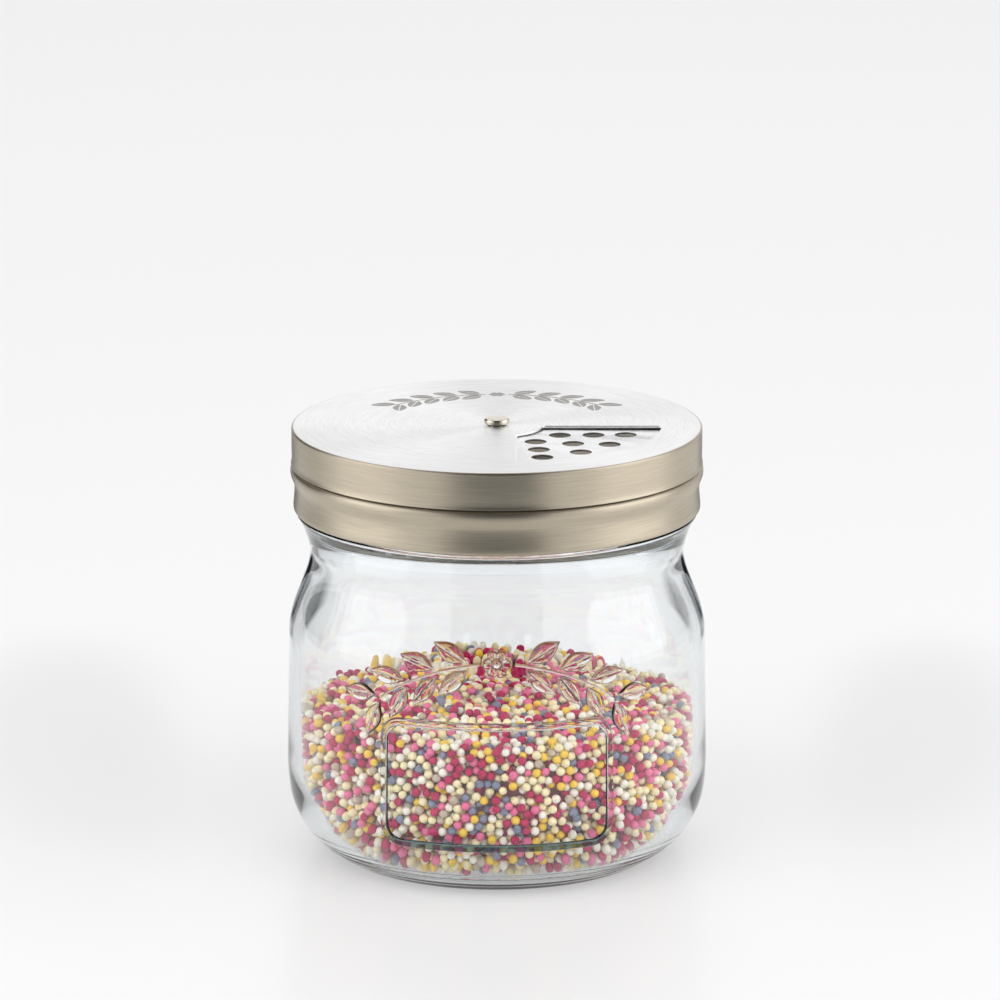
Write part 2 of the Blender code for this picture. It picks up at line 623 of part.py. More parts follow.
def make_selector_cap():
    steel = material("brushed_steel_selector", (0.70, 0.69, 0.66), 0.3, metallic=1.0)
    outside = [(RIVET_HOLE_RADIUS, SELECTOR_TOP)]
    outside += corner((SELECTOR_RADIUS - SELECTOR_CORNER, SELECTOR_TOP - SELECTOR_CORNER),
                      SELECTOR_CORNER, 90, 0, SHEET_STEPS)
    outside += [(SELECTOR_RADIUS, SELECTOR_BOTTOM + LIP_HEIGHT),
                (SELECTOR_RADIUS + SELECTOR_FLARE, SELECTOR_BOTTOM)]
    inside = offset(outside, SHEET)
    inside[0] = (RIVET_HOLE_RADIUS, SELECTOR_TOP - SHEET)
    inside[-1] = (SELECTOR_RADIUS + SELECTOR_FLARE - SHEET, SELECTOR_BOTTOM)
    selector = turned("selector_cap", outside + inside[::-1], ROUND_STEPS, steel, closed=True)
    bm = bmesh.new()
    add_sector(bm, WINDOW_ANGLE, (WINDOW_SIDE_INSET, WINDOW_BACK_INSET), 0,
               SELECTOR_TOP - SHEET - TURN_GAP / 2, SELECTOR_TOP + OVERRUN)
    combine(selector, add_object("window_tool", bm, None), "DIFFERENCE")
    return selector


def make_rivet():
    steel = material("polished_rivet", (0.68, 0.65, 0.58), 0.2, metallic=1.0)
    seat = SELECTOR_TOP + REST_GAP
    profile = [(RIVET_HEAD_RADIUS * radius, seat + RIVET_HEAD_HEIGHT * height)
               for radius, height in HEAD_SHARES]
    profile += [(RIVET_SHANK_RADIUS, seat), (RIVET_SHANK_RADIUS, TAIL_TOP)]
    profile += [(RIVET_TAIL_RADIUS, TAIL_TOP), (RIVET_TAIL_RADIUS, TAIL_TOP - RIVET_TAIL_HEIGHT / 2)]
    profile += [(RIVET_SHANK_RADIUS, TAIL_TOP - RIVET_TAIL_HEIGHT), (0, TAIL_TOP - RIVET_TAIL_HEIGHT)]
    return turned("rivet", profile, SHANK_STEPS, steel)


def make_backing_washer():
    steel = material("plain_washer", (0.6, 0.6, 0.6), 0.35, metallic=1.0)
    bottom = WASHER_TOP - WASHER_THICKNESS
    profile = [(RIVET_HOLE_RADIUS, WASHER_TOP), (WASHER_RADIUS, WASHER_TOP),
               (WASHER_RADIUS, bottom), (RIVET_HOLE_RADIUS, bottom)]
    return turned("backing_washer", profile, SHANK_STEPS, steel, closed=True)


clear_scene()
make_glass_jar()
make_sprinkles()
make_seal_ring()
make_screw_cap()
make_selector_cap()
make_rivet()
make_backing_washer()
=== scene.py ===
import math

import bpy
import numpy as np
from mathutils import Matrix, Vector, kdtree


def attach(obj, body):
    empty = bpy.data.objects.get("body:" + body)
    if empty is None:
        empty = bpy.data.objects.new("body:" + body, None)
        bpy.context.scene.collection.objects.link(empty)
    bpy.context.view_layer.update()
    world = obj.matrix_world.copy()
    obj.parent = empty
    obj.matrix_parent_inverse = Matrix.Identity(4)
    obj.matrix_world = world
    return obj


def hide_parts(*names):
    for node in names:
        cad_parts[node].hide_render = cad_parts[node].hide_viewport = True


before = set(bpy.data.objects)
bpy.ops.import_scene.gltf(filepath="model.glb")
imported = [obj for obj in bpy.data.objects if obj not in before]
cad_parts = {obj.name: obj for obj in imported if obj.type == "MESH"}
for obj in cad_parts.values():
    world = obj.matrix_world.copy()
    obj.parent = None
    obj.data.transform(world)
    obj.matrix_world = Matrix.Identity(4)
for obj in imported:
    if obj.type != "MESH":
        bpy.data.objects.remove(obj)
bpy.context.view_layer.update()        # bodies jar, seal, cap and selector, and their nodes
print("frame loaded")

mm = 0.001

# Camera, as the photograph was taken
cameraSettings = {"distance": 1.2, "height": 0.3687, "side": 0.0006, "pitch": 14.03,
                  "lens": 231.9, "sensor": 36}

bpy.ops.object.select_all(action="DESELECT")
bpy.ops.object.camera_add(
    location=(cameraSettings["side"], -cameraSettings["distance"], cameraSettings["height"]),
    rotation=(math.radians(90 - cameraSettings["pitch"]), 0, 0))
photoCamera = bpy.context.object
photoCamera.name = "photoCamera"
photoCamera.data.lens = cameraSettings["lens"]
photoCamera.data.sensor_width = cameraSettings["sensor"]
bpy.context.scene.camera = photoCamera
bpy.context.scene.view_settings.view_transform = "Standard"

weldDistance = 0.002 * mm


# Modelling helpers
def goTo(mode):
    bpy.ops.object.mode_set(mode=mode)


def deselectAll():
    if bpy.context.object and bpy.context.object.mode != "OBJECT":
        goTo("OBJECT")
    bpy.ops.object.select_all(action="DESELECT")


def pickOnly(piece):
    deselectAll()
    piece.select_set(True)
    bpy.context.view_layer.objects.active = piece


def editAll():
    goTo("EDIT")
    bpy.ops.mesh.select_all(action="SELECT")


def turnProfile(name, points, steps, closed=False):
    # one vertex, extruded from point to point (radius, height), then turned round the Z axis
    deselectAll()
    bpy.ops.mesh.primitive_plane_add(size=mm)
    piece = bpy.context.object
    piece.name = name
    goTo("EDIT")
    bpy.ops.mesh.select_mode(type="VERT")
    bpy.ops.mesh.merge(type="CENTER")
    bpy.ops.transform.translate(value=(points[0][0], 0, points[0][1]))
    for a, b in zip(points, points[1:]):
        bpy.ops.mesh.extrude_region_move(
            TRANSFORM_OT_translate={"value": (b[0] - a[0], 0, b[1] - a[1])})
    goTo("OBJECT")
    if closed:
        piece.data.vertices[0].select = True
        goTo("EDIT")
        bpy.ops.mesh.edge_face_add()
        goTo("OBJECT")
    editAll()
    bpy.ops.mesh.spin(steps=steps, angle=math.tau, center=(0, 0, 0), axis=(0, 0, 1))
    goTo("OBJECT")
    cleanUp(piece)
    return piece


def cleanUp(piece):
    pickOnly(piece)
    editAll()
    bpy.ops.mesh.remove_doubles(threshold=weldDistance)
    bpy.ops.mesh.normals_make_consistent(inside=False)
    goTo("OBJECT")


def modify(piece, kind, **values):
    modifier = piece.modifiers.new(kind.lower(), kind)
    for key, value in values.items():
        setattr(modifier, key, value)
    pickOnly(piece)
    bpy.ops.object.modifier_apply(modifier=modifier.name)


def cutWith(piece, cutter, operation="DIFFERENCE"):
    modify(piece, "BOOLEAN", object=cutter, operation=operation, solver="EXACT", material_mode="TRANSFER")
    bpy.data.objects.remove(cutter, do_unlink=True)


def bevelEdges(piece, width, segments, angle):
    modify(piece, "BEVEL", width=width, segments=segments, limit_method="ANGLE",
           angle_limit=math.radians(angle))


def joinAll(pieces, name):
    deselectAll()
    for piece in pieces:
        piece.select_set(True)
    bpy.context.view_layer.objects.active = pieces[0]
    bpy.ops.object.join()
    pieces[0].name = name
    return pieces[0]


def prismFrom(name, outline, bottom, top):
    deselectAll()
    bpy.ops.mesh.primitive_circle_add(vertices=len(outline), radius=mm, fill_type="NGON")
    prism = bpy.context.object
    prism.name = name
    for vertex, spot in zip(prism.data.vertices, outline):
        vertex.co = (spot[0], spot[1], bottom)
    editAll()
    bpy.ops.mesh.extrude_region_move(TRANSFORM_OT_translate={"value": (0, 0, top - bottom)})
    bpy.ops.mesh.select_all(action="SELECT")
    bpy.ops.mesh.normals_make_consistent(inside=False)
    bpy.ops.mesh.select_all(action="DESELECT")
    goTo("OBJECT")
    return prism


def newPiece(name, corners, faces):
    mesh = bpy.data.meshes.new(name)
    mesh.from_pydata(corners, [], faces)
    piece = bpy.data.objects.new(name, mesh)
    bpy.context.scene.collection.objects.link(piece)
    return piece


def coat(piece, *finishes):
    piece.data.materials.clear()
    for finish in finishes:
        piece.data.materials.append(finish)


def finishPiece(piece, body, nodes, finish, smoothAngle=35):
    # finish None keeps the materials that the piece has
    pickOnly(piece)
    bpy.ops.object.transform_apply()
    bpy.ops.object.shade_smooth_by_angle(angle=math.radians(smoothAngle))
    if finish:
        coat(piece, finish)
    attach(piece, body)
    if nodes:
        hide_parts(*nodes)
    return piece


def evenShares(steps):
    return [i / steps for i in range(steps + 1)]


def arcPoints(centre, radius, start, end, steps):
    # degrees, 0 outwards and 90 up
    angles = [math.radians(start + (end - start) * i / steps) for i in range(steps + 1)]
    return [(centre[0] + radius * math.cos(a), centre[1] + radius * math.sin(a)) for a in angles]


def offsetPath(path, distance):
    # moved to the right of its direction, with mitred corners
    points = [Vector(point) for point in path]
    sides = [Vector(((b - a).y, -(b - a).x)).normalized() for a, b in zip(points, points[1:])]
    moved = []
    for i, point in enumerate(points):
        before, after = sides[max(i - 1, 0)], sides[min(i, len(sides) - 1)]
        mitre = (before + after).normalized()
        moved.append(tuple(point + mitre * distance / mitre.dot(after)))
    return moved


def smoothThrough(points, spacing):
    # an even walk along a rounded curve through the points
    spots = [Vector(point) for point in points]
    spots = [2 * spots[0] - spots[1]] + spots + [2 * spots[-1] - spots[-2]]
    fine = []
    for a, b, c, d in zip(spots, spots[1:], spots[2:], spots[3:]):
        steps = max(4, int((c - b).length / spacing * 4))
        knots = [0.0]
        for first, second in ((a, b), (b, c), (c, d)):
            knots.append(knots[-1] + math.sqrt(max((second - first).length, 1e-9)))
        for i in range(steps):
            t = knots[1] + (knots[2] - knots[1]) * i / steps
            ab = a.lerp(b, (t - knots[0]) / (knots[1] - knots[0]))
            bc = b.lerp(c, (t - knots[1]) / (knots[2] - knots[1]))
            cd = c.lerp(d, (t - knots[2]) / (knots[3] - knots[2]))
            left = ab.lerp(bc, (t - knots[0]) / (knots[2] - knots[0]))
            right = bc.lerp(cd, (t - knots[1]) / (knots[3] - knots[1]))
            fine.append(left.lerp(right, (t - knots[1]) / (knots[2] - knots[1])))
    fine.append(spots[-2])
    lengths = [0.0]
    for a, b in zip(fine, fine[1:]):
        lengths.append(lengths[-1] + (b - a).length)
    count = max(2, round(lengths[-1] / spacing))
    walked, k = [], 0
    for i in range(count + 1):
        goal = lengths[-1] * i / count
        while k < len(fine) - 2 and lengths[k + 1] < goal:
            k += 1
        share = (goal - lengths[k]) / max(lengths[k + 1] - lengths[k], 1e-12)
        walked.append(tuple(fine[k].lerp(fine[k + 1], min(1.0, share))))
    return walked


def smoothStep(t):
    return t * t * (3 - 2 * t)


# Materials
def newMaterial(name):
    made = bpy.data.materials.new(name)
    made.use_nodes = True
    return made, made.node_tree, made.node_tree.nodes["Principled BSDF"]


def setInputs(tree, node, inputs):
    # each input takes a plain value, or another node's output
    for key, value in inputs.items():
        if isinstance(value, bpy.types.NodeSocket):
            tree.links.new(value, node.inputs[key])
        else:
            node.inputs[key].default_value = value


def addNode(tree, kind, inputs, output=0, **values):
    node = tree.nodes.new("ShaderNode" + kind)
    for key, value in values.items():
        setattr(node, key, value)
    setInputs(tree, node, inputs)
    return node.outputs[output]


glassSettings = {"ior": 1.5, "edge": (0.17, 0.44, 0.53, 1), "density": 19.0}
steelSettings = {
    "warm": (0.54, 0.475, 0.372), "paintedSheen": (0.98, 0.975, 0.97), "roughness": 0.40, "lineDepth": 0.02 * mm,
    "shade": 0.19, "roundScale": 1.6, "acrossScale": 1600.0, "lineScale": 3.0, "edgeBlend": 0.15 * mm,
    "cloudScale": 60.0, "roughSpread": 0.06, "bump": 0.35, "stretch": 0.7, "stretchTurn": 0.25}
plainSettings = {"speckleScale": 900.0, "speckleDetail": 4.0, "roughSpread": 0.08}


def glassMaterial():
    # clear, teal where light stays long inside, and painted shade on the steep sides of the raised forms,
    # whose faces carry a darker colour
    s = glassSettings
    made, tree, shader = newMaterial("clearGlass")
    sides = addNode(tree, "Attribute", {}, "Color", attribute_name="paintedSlopeShade")
    setInputs(tree, shader, {"Roughness": 0.0, "IOR": s["ior"], "Transmission Weight": 1.0,
                             "Base Color": sides})
    tint = addNode(tree, "VolumeAbsorption", {"Color": s["edge"], "Density": s["density"]})
    setInputs(tree, tree.nodes["Material Output"], {"Volume": tint})
    return made


def brushedSteel(name, edge):
    # fine lines that run round the lid's axis: across the plate they follow its circles.
    # The plate is painted pale as far as the edge, a painted sheen of the bright light it reflects, and the
    # side keeps the warmer steel colour
    s = steelSettings
    made, tree, shader = newMaterial(name)
    place = addNode(tree, "TexCoord", {}, "Object")
    flat = addNode(tree, "VectorMath", {0: place, 1: (1, 1, 0)}, operation="MULTIPLY")
    reach = addNode(tree, "VectorMath", {0: flat}, "Value", operation="LENGTH")
    turn = addNode(tree, "VectorMath", {0: flat}, operation="NORMALIZE")
    level = addNode(tree, "SeparateXYZ", {0: place}, "Z")
    across = addNode(tree, "Math", {0: reach, 1: level}, operation="ADD")
    scaled = {}
    for axis, scale in (("X", s["roundScale"]), ("Y", s["roundScale"]), ("Z", s["acrossScale"])):
        value = across if axis == "Z" else addNode(tree, "SeparateXYZ", {0: turn}, axis)
        scaled[axis] = addNode(tree, "Math", {0: value, 1: scale}, operation="MULTIPLY")
    grain = addNode(tree, "CombineXYZ", scaled)
    lines = addNode(tree, "TexNoise", {"Vector": grain, "Scale": s["lineScale"], "Detail": 5.0,
                                       "Roughness": 0.65}, "Fac")
    cloud = addNode(tree, "TexNoise", {"Vector": place, "Scale": s["cloudScale"], "Detail": 3.0}, "Fac")
    # painted sheen: inside the edge the plate takes the pale colour, past it the side takes the warm one
    past = addNode(tree, "MapRange", {"Value": reach, "From Min": edge - s["edgeBlend"], "From Max": edge})
    blend = addNode(tree, "MixRGB", {0: past, 1: (*s["paintedSheen"], 1), 2: (*s["warm"], 1)})
    tone = addNode(tree, "MapRange", {"Value": lines, "From Min": 0.25, "From Max": 0.75,
                                      "To Min": 1.0 - s["shade"], "To Max": 1.0 + s["shade"] / 2})
    tinted = addNode(tree, "VectorMath", {0: blend, "Scale": tone}, operation="SCALE")
    mixed = addNode(tree, "Math", {0: lines, 1: cloud}, operation="ADD")
    rough = addNode(tree, "MapRange", {"Value": mixed, "From Min": 0.6, "From Max": 1.4,
                                       "To Min": s["roughness"] - s["roughSpread"],
                                       "To Max": s["roughness"] + s["roughSpread"]})
    bump = addNode(tree, "Bump", {"Strength": s["bump"], "Distance": s["lineDepth"], "Height": lines})
    ring = addNode(tree, "Tangent", {}, direction_type="RADIAL", axis="Z")
    setInputs(tree, shader, {"Base Color": tinted, "Roughness": rough, "Normal": bump, "Tangent": ring,
                             "Anisotropic": s["stretch"], "Anisotropic Rotation": s["stretchTurn"],
                             "Metallic": 1.0})
    return made


def plainMaterial(name, colour, roughness, metallic, grain, specular=0.5):
    s = plainSettings
    made, tree, shader = newMaterial(name)
    place = addNode(tree, "TexCoord", {}, "Object")
    speckle = addNode(tree, "TexNoise", {"Vector": place, "Scale": s["speckleScale"],
                                         "Detail": s["speckleDetail"]}, "Fac")
    tone = addNode(tree, "MapRange", {"Value": speckle, "To Min": 1.0 - grain, "To Max": 1.0 + grain})
    tinted = addNode(tree, "VectorMath", {0: colour, "Scale": tone}, operation="SCALE")
    rough = addNode(tree, "MapRange", {"Value": speckle, "To Min": max(0.0, roughness - s["roughSpread"]),
                                       "To Max": roughness + s["roughSpread"]})
    setInputs(tree, shader, {"Base Color": tinted, "Roughness": rough, "Metallic": metallic,
                             "Specular IOR Level": specular})
    return made


# Glass jar
jarSettings = {
    "height": 81.0 * mm, "bodyRadius": 40.5 * mm, "taper": 0.4 * mm, "wall": 2.4 * mm,
    "footRadius": 30.2 * mm, "footWidth": 3.2 * mm, "hollow": 1.2 * mm, "floor": 2.8 * mm,
    "crown": 0.9 * mm, "heel": 18.0 * mm, "bow": 10.0 * mm, "shoulder": 15.5 * mm,
    "waistToRing": 7.25 * mm, "neckRadius": 36.8 * mm, "waistRadius": 35.9 * mm,
    "mouthRadius": 33.5 * mm, "ringRadius": 38.4 * mm, "ringTop": 67.2 * mm, "ringRound": 0.35 * mm,
    "ringFillet": 0.5 * mm, "rimRound": 0.9 * mm,
    "rippleTop": 4.8 * mm, "rippleStep": 0.2 * mm, "rippleDepth": 0.09 * mm, "ripplePitch": 1.25 * mm,
    "fineStep": 0.8 * mm, "plainStep": 1.5 * mm, "neckStep": 0.4 * mm,
    "bowSteps": 8, "shoulderSteps": 10, "mouthSteps": 12, "cornerSteps": 6, "filletSteps": 3, "spins": 288}
crownShares = (0.5, 0.75)
straightShares = (0.8, 0.5, 0.2)
hollowCurve = ((0, 0), (0.5 * mm, 0.2 * mm), (1.6 * mm, 0.7 * mm), (5 * mm, 1.05 * mm))
hollowShares = (0.5, 0.97)
flareShares = ((0.92, 0.86), (0.64, 0.48), (0.36, 0.20))     # height and width
heelShares = ((1.0, 1.0), (0.78, 0.98), (0.62, 0.937), (0.478, 0.854), (0.361, 0.752),
              (0.261, 0.621), (0.178, 0.476), (0.111, 0.32), (0.056, 0.175), (0.019, 0.068))
waistLevel = jarSettings["ringTop"] - jarSettings["ringRound"] - jarSettings["waistToRing"]
shoulderLevel = waistLevel - jarSettings["shoulder"]
insideRadius = jarSettings["bodyRadius"] - jarSettings["wall"]


def jarInside(step):
    s = jarSettings
    edge = insideRadius - s["bow"]
    points = [(0, s["floor"] + s["crown"]), (edge * crownShares[0], s["floor"] + s["crown"] * crownShares[1])]
    rise = s["heel"] - s["floor"]
    for share in evenShares(s["bowSteps"]):
        a = math.pi / 2 * share
        points.append((edge + s["bow"] * math.sin(a), s["floor"] + rise * (1 - math.cos(a))))
    narrow = insideRadius - s["taper"] - s["mouthRadius"]
    low = shoulderLevel - s["wall"] / 2
    for t in evenShares(s["shoulderSteps"]):
        points.append((s["mouthRadius"] + narrow * (1 - smoothStep(t)), low + s["shoulder"] * t))
    middle = s["height"] - s["rimRound"]
    walked = smoothThrough(points, step)
    last, steps = walked[-1][1], s["mouthSteps"]
    walked += [(s["mouthRadius"], last + (middle - last) * i / steps) for i in range(1, steps)]
    rimCentre = (s["mouthRadius"] + s["rimRound"], middle)
    return walked + arcPoints(rimCentre, s["rimRound"], 180, 90, s["cornerSteps"])


def jarOutside():
    s = jarSettings
    rimCentre = (s["neckRadius"] - s["rimRound"], s["height"] - s["rimRound"])
    points = arcPoints(rimCentre, s["rimRound"], 90, 0, s["cornerSteps"])
    top, low = points[-1][1], s["ringTop"] + s["ringFillet"]
    steps = round((top - low) / s["neckStep"])
    points += [(s["neckRadius"], top + (low - top) * i / steps) for i in range(1, steps + 1)]
    filletCentre = (s["neckRadius"] + s["ringFillet"], low)
    points += arcPoints(filletCentre, s["ringFillet"], 205, 270, s["filletSteps"])[:-1]
    ringCentre = (s["ringRadius"] - s["ringRound"], s["ringTop"] - s["ringRound"])
    points += arcPoints(ringCentre, s["ringRound"], 80, 0, s["cornerSteps"])
    flare = s["ringRadius"] - s["waistRadius"]
    curve = [points[-1]]
    curve += [(s["waistRadius"] + flare * width, waistLevel + s["waistToRing"] * height)
              for height, width in flareShares]
    fall = s["bodyRadius"] - s["taper"] - s["waistRadius"]
    curve += [(s["waistRadius"] + fall * smoothStep(t), waistLevel - s["shoulder"] * t)
              for t in evenShares(s["shoulderSteps"])]
    straight = shoulderLevel - s["heel"]
    curve += [(s["bodyRadius"] - s["taper"] * share, s["heel"] + straight * share)
              for share in straightShares]
    heelWidth = s["bodyRadius"] - s["footRadius"]
    curve += [(s["footRadius"] + heelWidth * width, s["heel"] * height) for height, width in heelShares]
    walked = [spot for spot in smoothThrough(curve, s["fineStep"]) if spot[1] > s["rippleTop"]]
    for radius, level in smoothThrough(curve, s["rippleStep"]):
        if level <= s["rippleTop"]:
            fade = math.sin(math.pi * (level / s["rippleTop"])) ** 0.5
            wave = math.sin(math.tau * level / s["ripplePitch"])
            walked.append((radius + s["rippleDepth"] * fade * wave, level))
    inner = s["footRadius"] - s["footWidth"]
    hollow = [(inner - inset, rise) for inset, rise in hollowCurve]
    hollow += [(inner * hollowShares[0], s["hollow"] * hollowShares[1]), (0, s["hollow"])]
    return points + walked[1:] + [(s["footRadius"], 0)] + smoothThrough(hollow, s["plainStep"])


# Raised frame and leaf garland on the front: solids that grow out of the wall
reliefSettings = {
    "frameBottom": 11.1 * mm, "frameTop": 34.95 * mm, "frameHalf": 22.4 * mm, "frameCorner": 3.6 * mm,
    "frameBand": 1.8 * mm, "frameRelief": 0.55 * mm, "root": 0.5 * mm, "cornerSteps": 10,
    "longSteps": 40, "shortSteps": 12,
    "reach": 23.5 * mm, "rise": 3.0 * mm, "sag": 8.0 * mm, "stemWidth": 0.7 * mm, "stemRelief": 0.35 * mm,
    "stemStart": 0.15, "stemRun": 0.84, "stemTaper": 0.3, "stemRings": 40, "stemFull": 0.55 * mm,
    "leafLength": 7.6 * mm, "leafWidth": 3.6 * mm, "leafRelief": 0.6 * mm, "leafLean": 34,
    "leafOffset": 1.33 * mm, "leafRings": 20, "leafFull": 0.75 * mm, "leafTip": 0.02 * mm,
    "stations": (0.2, 0.46, 0.72, 0.98), "blossom": 2.9 * mm, "blossomSides": 54}
slopeShape = ((0.0, None), (0.12 * mm, 0.25), (0.30 * mm, 0.75), (0.45 * mm, 0.92))
leafRidge = ((-0.25 * mm, 0.95), (0, 0.62), (0.25 * mm, 0.95))
plainRidge = ((0, 1.0),)
blossomLevels = ((1.25 * mm, 0.8), (1.05 * mm, 0.4), (0.85 * mm, 0.4), (0.6 * mm, 0.9), (0.2 * mm, 1.05))
# painted shade on the glass: darker colours for the slopes of the leaves and the blossom, their veins, the
# stems, the frame's slopes and the whole lower bar of the frame; clear leaves the glass as it is
paintedShadeSettings = {"garland": (0.34, 0.19, 0.14), "vein": (0.62, 0.48, 0.42), "frame": (0.52, 0.60, 0.58),
                "sill": (0.05, 0.095, 0.095), "sillTop": 15.5 * mm, "sillEnd": 12.2 * mm, "clear": (1, 1, 1)}
skinBottom, skinTop = 9 * mm, 59 * mm
outerSkin = np.array([point for point in jarOutside() if skinBottom < point[1] < skinTop])[::-1]


def onGlass(u, z, relief):
    radius = float(np.interp(z, outerSkin[:, 1], outerSkin[:, 0])) + relief
    turn = u / jarSettings["bodyRadius"] - math.pi / 2
    return radius * math.cos(turn), radius * math.sin(turn), z


def archPoint(share):
    s = reliefSettings
    return Vector((s["reach"] * share, shoulderLevel + s["rise"] - s["sag"] * share * share))


def archAhead(share, side):
    return (archPoint(share + side * 0.01) - archPoint(share)).normalized()


def leafPlaces():
    s = reliefSettings
    places = []
    for half in (-1, 1):
        for share in s["stations"]:
            for lean in (-s["leafLean"], s["leafLean"]):
                turned = archAhead(half * share, half)
                turned.rotate(Matrix.Rotation(math.radians(lean), 2))
                places.append((archPoint(half * share) + turned * s["leafOffset"], turned))
    return places


def raisedSolid(name, rings, paintedShadeAt, ringClosed):
    # rings of (u, z, relief), and the painted shade colour of face k that starts at a spot
    count = len(rings[0])
    corners = [onGlass(*spot) for ring in rings for spot in ring]
    faces, colours = [], []
    for i in range(len(rings) if ringClosed else len(rings) - 1):
        a, b = i * count, (i + 1) % len(rings) * count
        for k in range(count):
            n = (k + 1) % count
            faces.append((a + k, a + n, b + n, b + k))
            colours.append(paintedShadeAt(k, rings[i][k]))
    if not ringClosed:
        last = (len(rings) - 1) * count
        faces += [tuple(range(count))[::-1], tuple(range(last, last + count))]
        colours += [paintedShadeAt(0, rings[0][0])] * 2
    piece = newPiece(name, corners, faces)
    painted = piece.data.attributes.new("paintedSlopeShade", "FLOAT_COLOR", "FACE")
    painted.data.foreach_set("color", [value for colour in colours for value in (*colour, 1)])
    cleanUp(piece)
    return piece


def crossRing(middle, side, half, relief, shrink, ridge):
    # from one foot of the cross-section over its slopes and its ridge to the other foot
    root = reliefSettings["root"]
    slope = [(-half + inset * shrink, -root if share is None else relief * share * shrink)
             for inset, share in slopeShape]
    upper = slope + [(x * shrink, relief * share * shrink) for x, share in ridge]
    upper += [(-x, height) for x, height in reversed(slope)]
    spots = [(middle + side * x, height) for x, height in upper]
    return [(spot.x, spot.y, height) for spot, height in spots]


def makeLeaves():
    s, t = reliefSettings, paintedShadeSettings
    # painted shade on the leaf slopes and the midrib
    slope = [t["garland"]] * 3 + [t["clear"]]
    tint = slope + [t["vein"]] * 2 + [t["clear"]] + slope
    leaves = []
    for base, ahead in leafPlaces():
        side = Vector((-ahead.y, ahead.x))
        rings = []
        for share in evenShares(s["leafRings"]):
            along = 0.5 - 0.485 * math.cos(math.pi * share)
            half = s["leafWidth"] / 2 * math.sin(math.pi * along ** 0.9) + s["leafTip"]
            rings.append(crossRing(base + ahead * s["leafLength"] * along, side, half, s["leafRelief"],
                                   min(1.0, half / s["leafFull"]), leafRidge))
        leaves.append(raisedSolid("leaf", rings, lambda k, spot: tint[k], False))
    return leaves


def makeStems():
    s = reliefSettings
    stems = []
    for half in (-1, 1):
        rings = []
        for step in evenShares(s["stemRings"]):
            share = half * (s["stemStart"] + s["stemRun"] * step)
            ahead = archAhead(share, half)
            wide = s["stemWidth"] / 2 * (1.0 - s["stemTaper"] * step)
            rings.append(crossRing(archPoint(share), Vector((-ahead.y, ahead.x)), wide, s["stemRelief"],
                                   wide / s["stemFull"], plainRidge))
        # the whole stem is painted in the vein's shade colour
        stems.append(raisedSolid("stem", rings, lambda k, spot: paintedShadeSettings["vein"], False))
    return stems


def makeBlossom():
    s, t = reliefSettings, paintedShadeSettings
    middle = archPoint(0)
    rings = []
    for k in range(s["blossomSides"]):
        a = math.tau * k / s["blossomSides"]
        out = Vector((math.cos(a), math.sin(a)))
        reach = s["blossom"] * (0.72 + 0.28 * abs(math.cos(3 * a)) ** 0.7)
        levels = [(reach - inset, share) for inset, share in slopeShape] + list(blossomLevels)
        levels.append((blossomLevels[-1][0], None))
        spots = [(middle + out * far, share) for far, share in levels]
        rings.append([(spot.x, spot.y, -s["root"] if share is None else s["leafRelief"] * share)
                      for spot, share in spots])
    # painted shade on the blossom's slopes and steps
    tint = [t["garland"]] * 3 + [t["clear"], t["vein"], t["garland"], t["vein"]] + [t["clear"]] * 3
    return raisedSolid("blossom", rings, lambda k, spot: tint[k], True)


def framePaintedShade(k, spot):
    # painted shade: only the slopes are darker, and the whole band of the lower bar is painted dark teal
    t = paintedShadeSettings
    low = min(1.0, max(0.0, (t["sillTop"] - spot[1]) / (t["sillTop"] - t["sillEnd"])))
    plain = t["clear"] if k in (3, 4, 8) else t["frame"]
    return tuple(a * (1 - low) + b * low for a, b in zip(plain, t["sill"]))


def makeFrame():
    s = reliefSettings
    corner = s["frameCorner"]
    across, low, high = s["frameHalf"] - corner, s["frameBottom"] + corner, s["frameTop"] - corner
    path = []
    for x, z, start in ((across, low, 270), (across, high, 0), (-across, high, 90), (-across, low, 180)):
        arc = [Vector(spot) for spot in arcPoints((x, z), corner, start, start + 90, s["cornerSteps"])]
        if path:
            steps = s["longSteps"] if start in (90, 270) else s["shortSteps"]
            path += [path[-1].lerp(arc[0], i / steps) for i in range(1, steps)]
        path += arc
    path += [path[-1].lerp(path[0], i / s["longSteps"]) for i in range(1, s["longSteps"])]
    rings = []
    for i, spot in enumerate(path):
        ahead = (path[(i + 1) % len(path)] - path[i - 1]).normalized()
        rings.append(crossRing(spot, Vector((ahead.y, -ahead.x)), s["frameBand"] / 2, s["frameRelief"], 1.0,
                               plainRidge))
    return raisedSolid("frame", rings, framePaintedShade, True)


threadSettings = {"starts": 4, "lead": 18 * mm, "sweep": 56, "lap": 10, "runOut": 5, "level": 70.2 * mm,
                  "depth": 1.05 * mm, "half": 0.95 * mm, "top": 79.5 * mm, "bottom": 67.8 * mm}


def threadHeight(turn, z):
    t = threadSettings
    height = np.zeros(z.shape)
    sweep, lap = math.radians(t["sweep"]), math.radians(t["lap"])
    for i in range(t["starts"]):
        start = math.radians(-90) + math.tau * i / t["starts"] - lap
        past = (turn - start + math.pi / 2) % math.tau - math.pi / 2
        level = t["level"] + t["lead"] * (past - lap) / math.tau
        ends = np.clip(np.minimum(past, sweep - past) / math.radians(t["runOut"]), 0, 1)
        bump = np.clip(1.25 * (1 - (np.abs(z - level) / t["half"]) ** 2.5), 0, 1)
        height = np.maximum(height, t["depth"] * bump * np.sqrt(ends) * (past > 0) * (past < sweep))
    return height


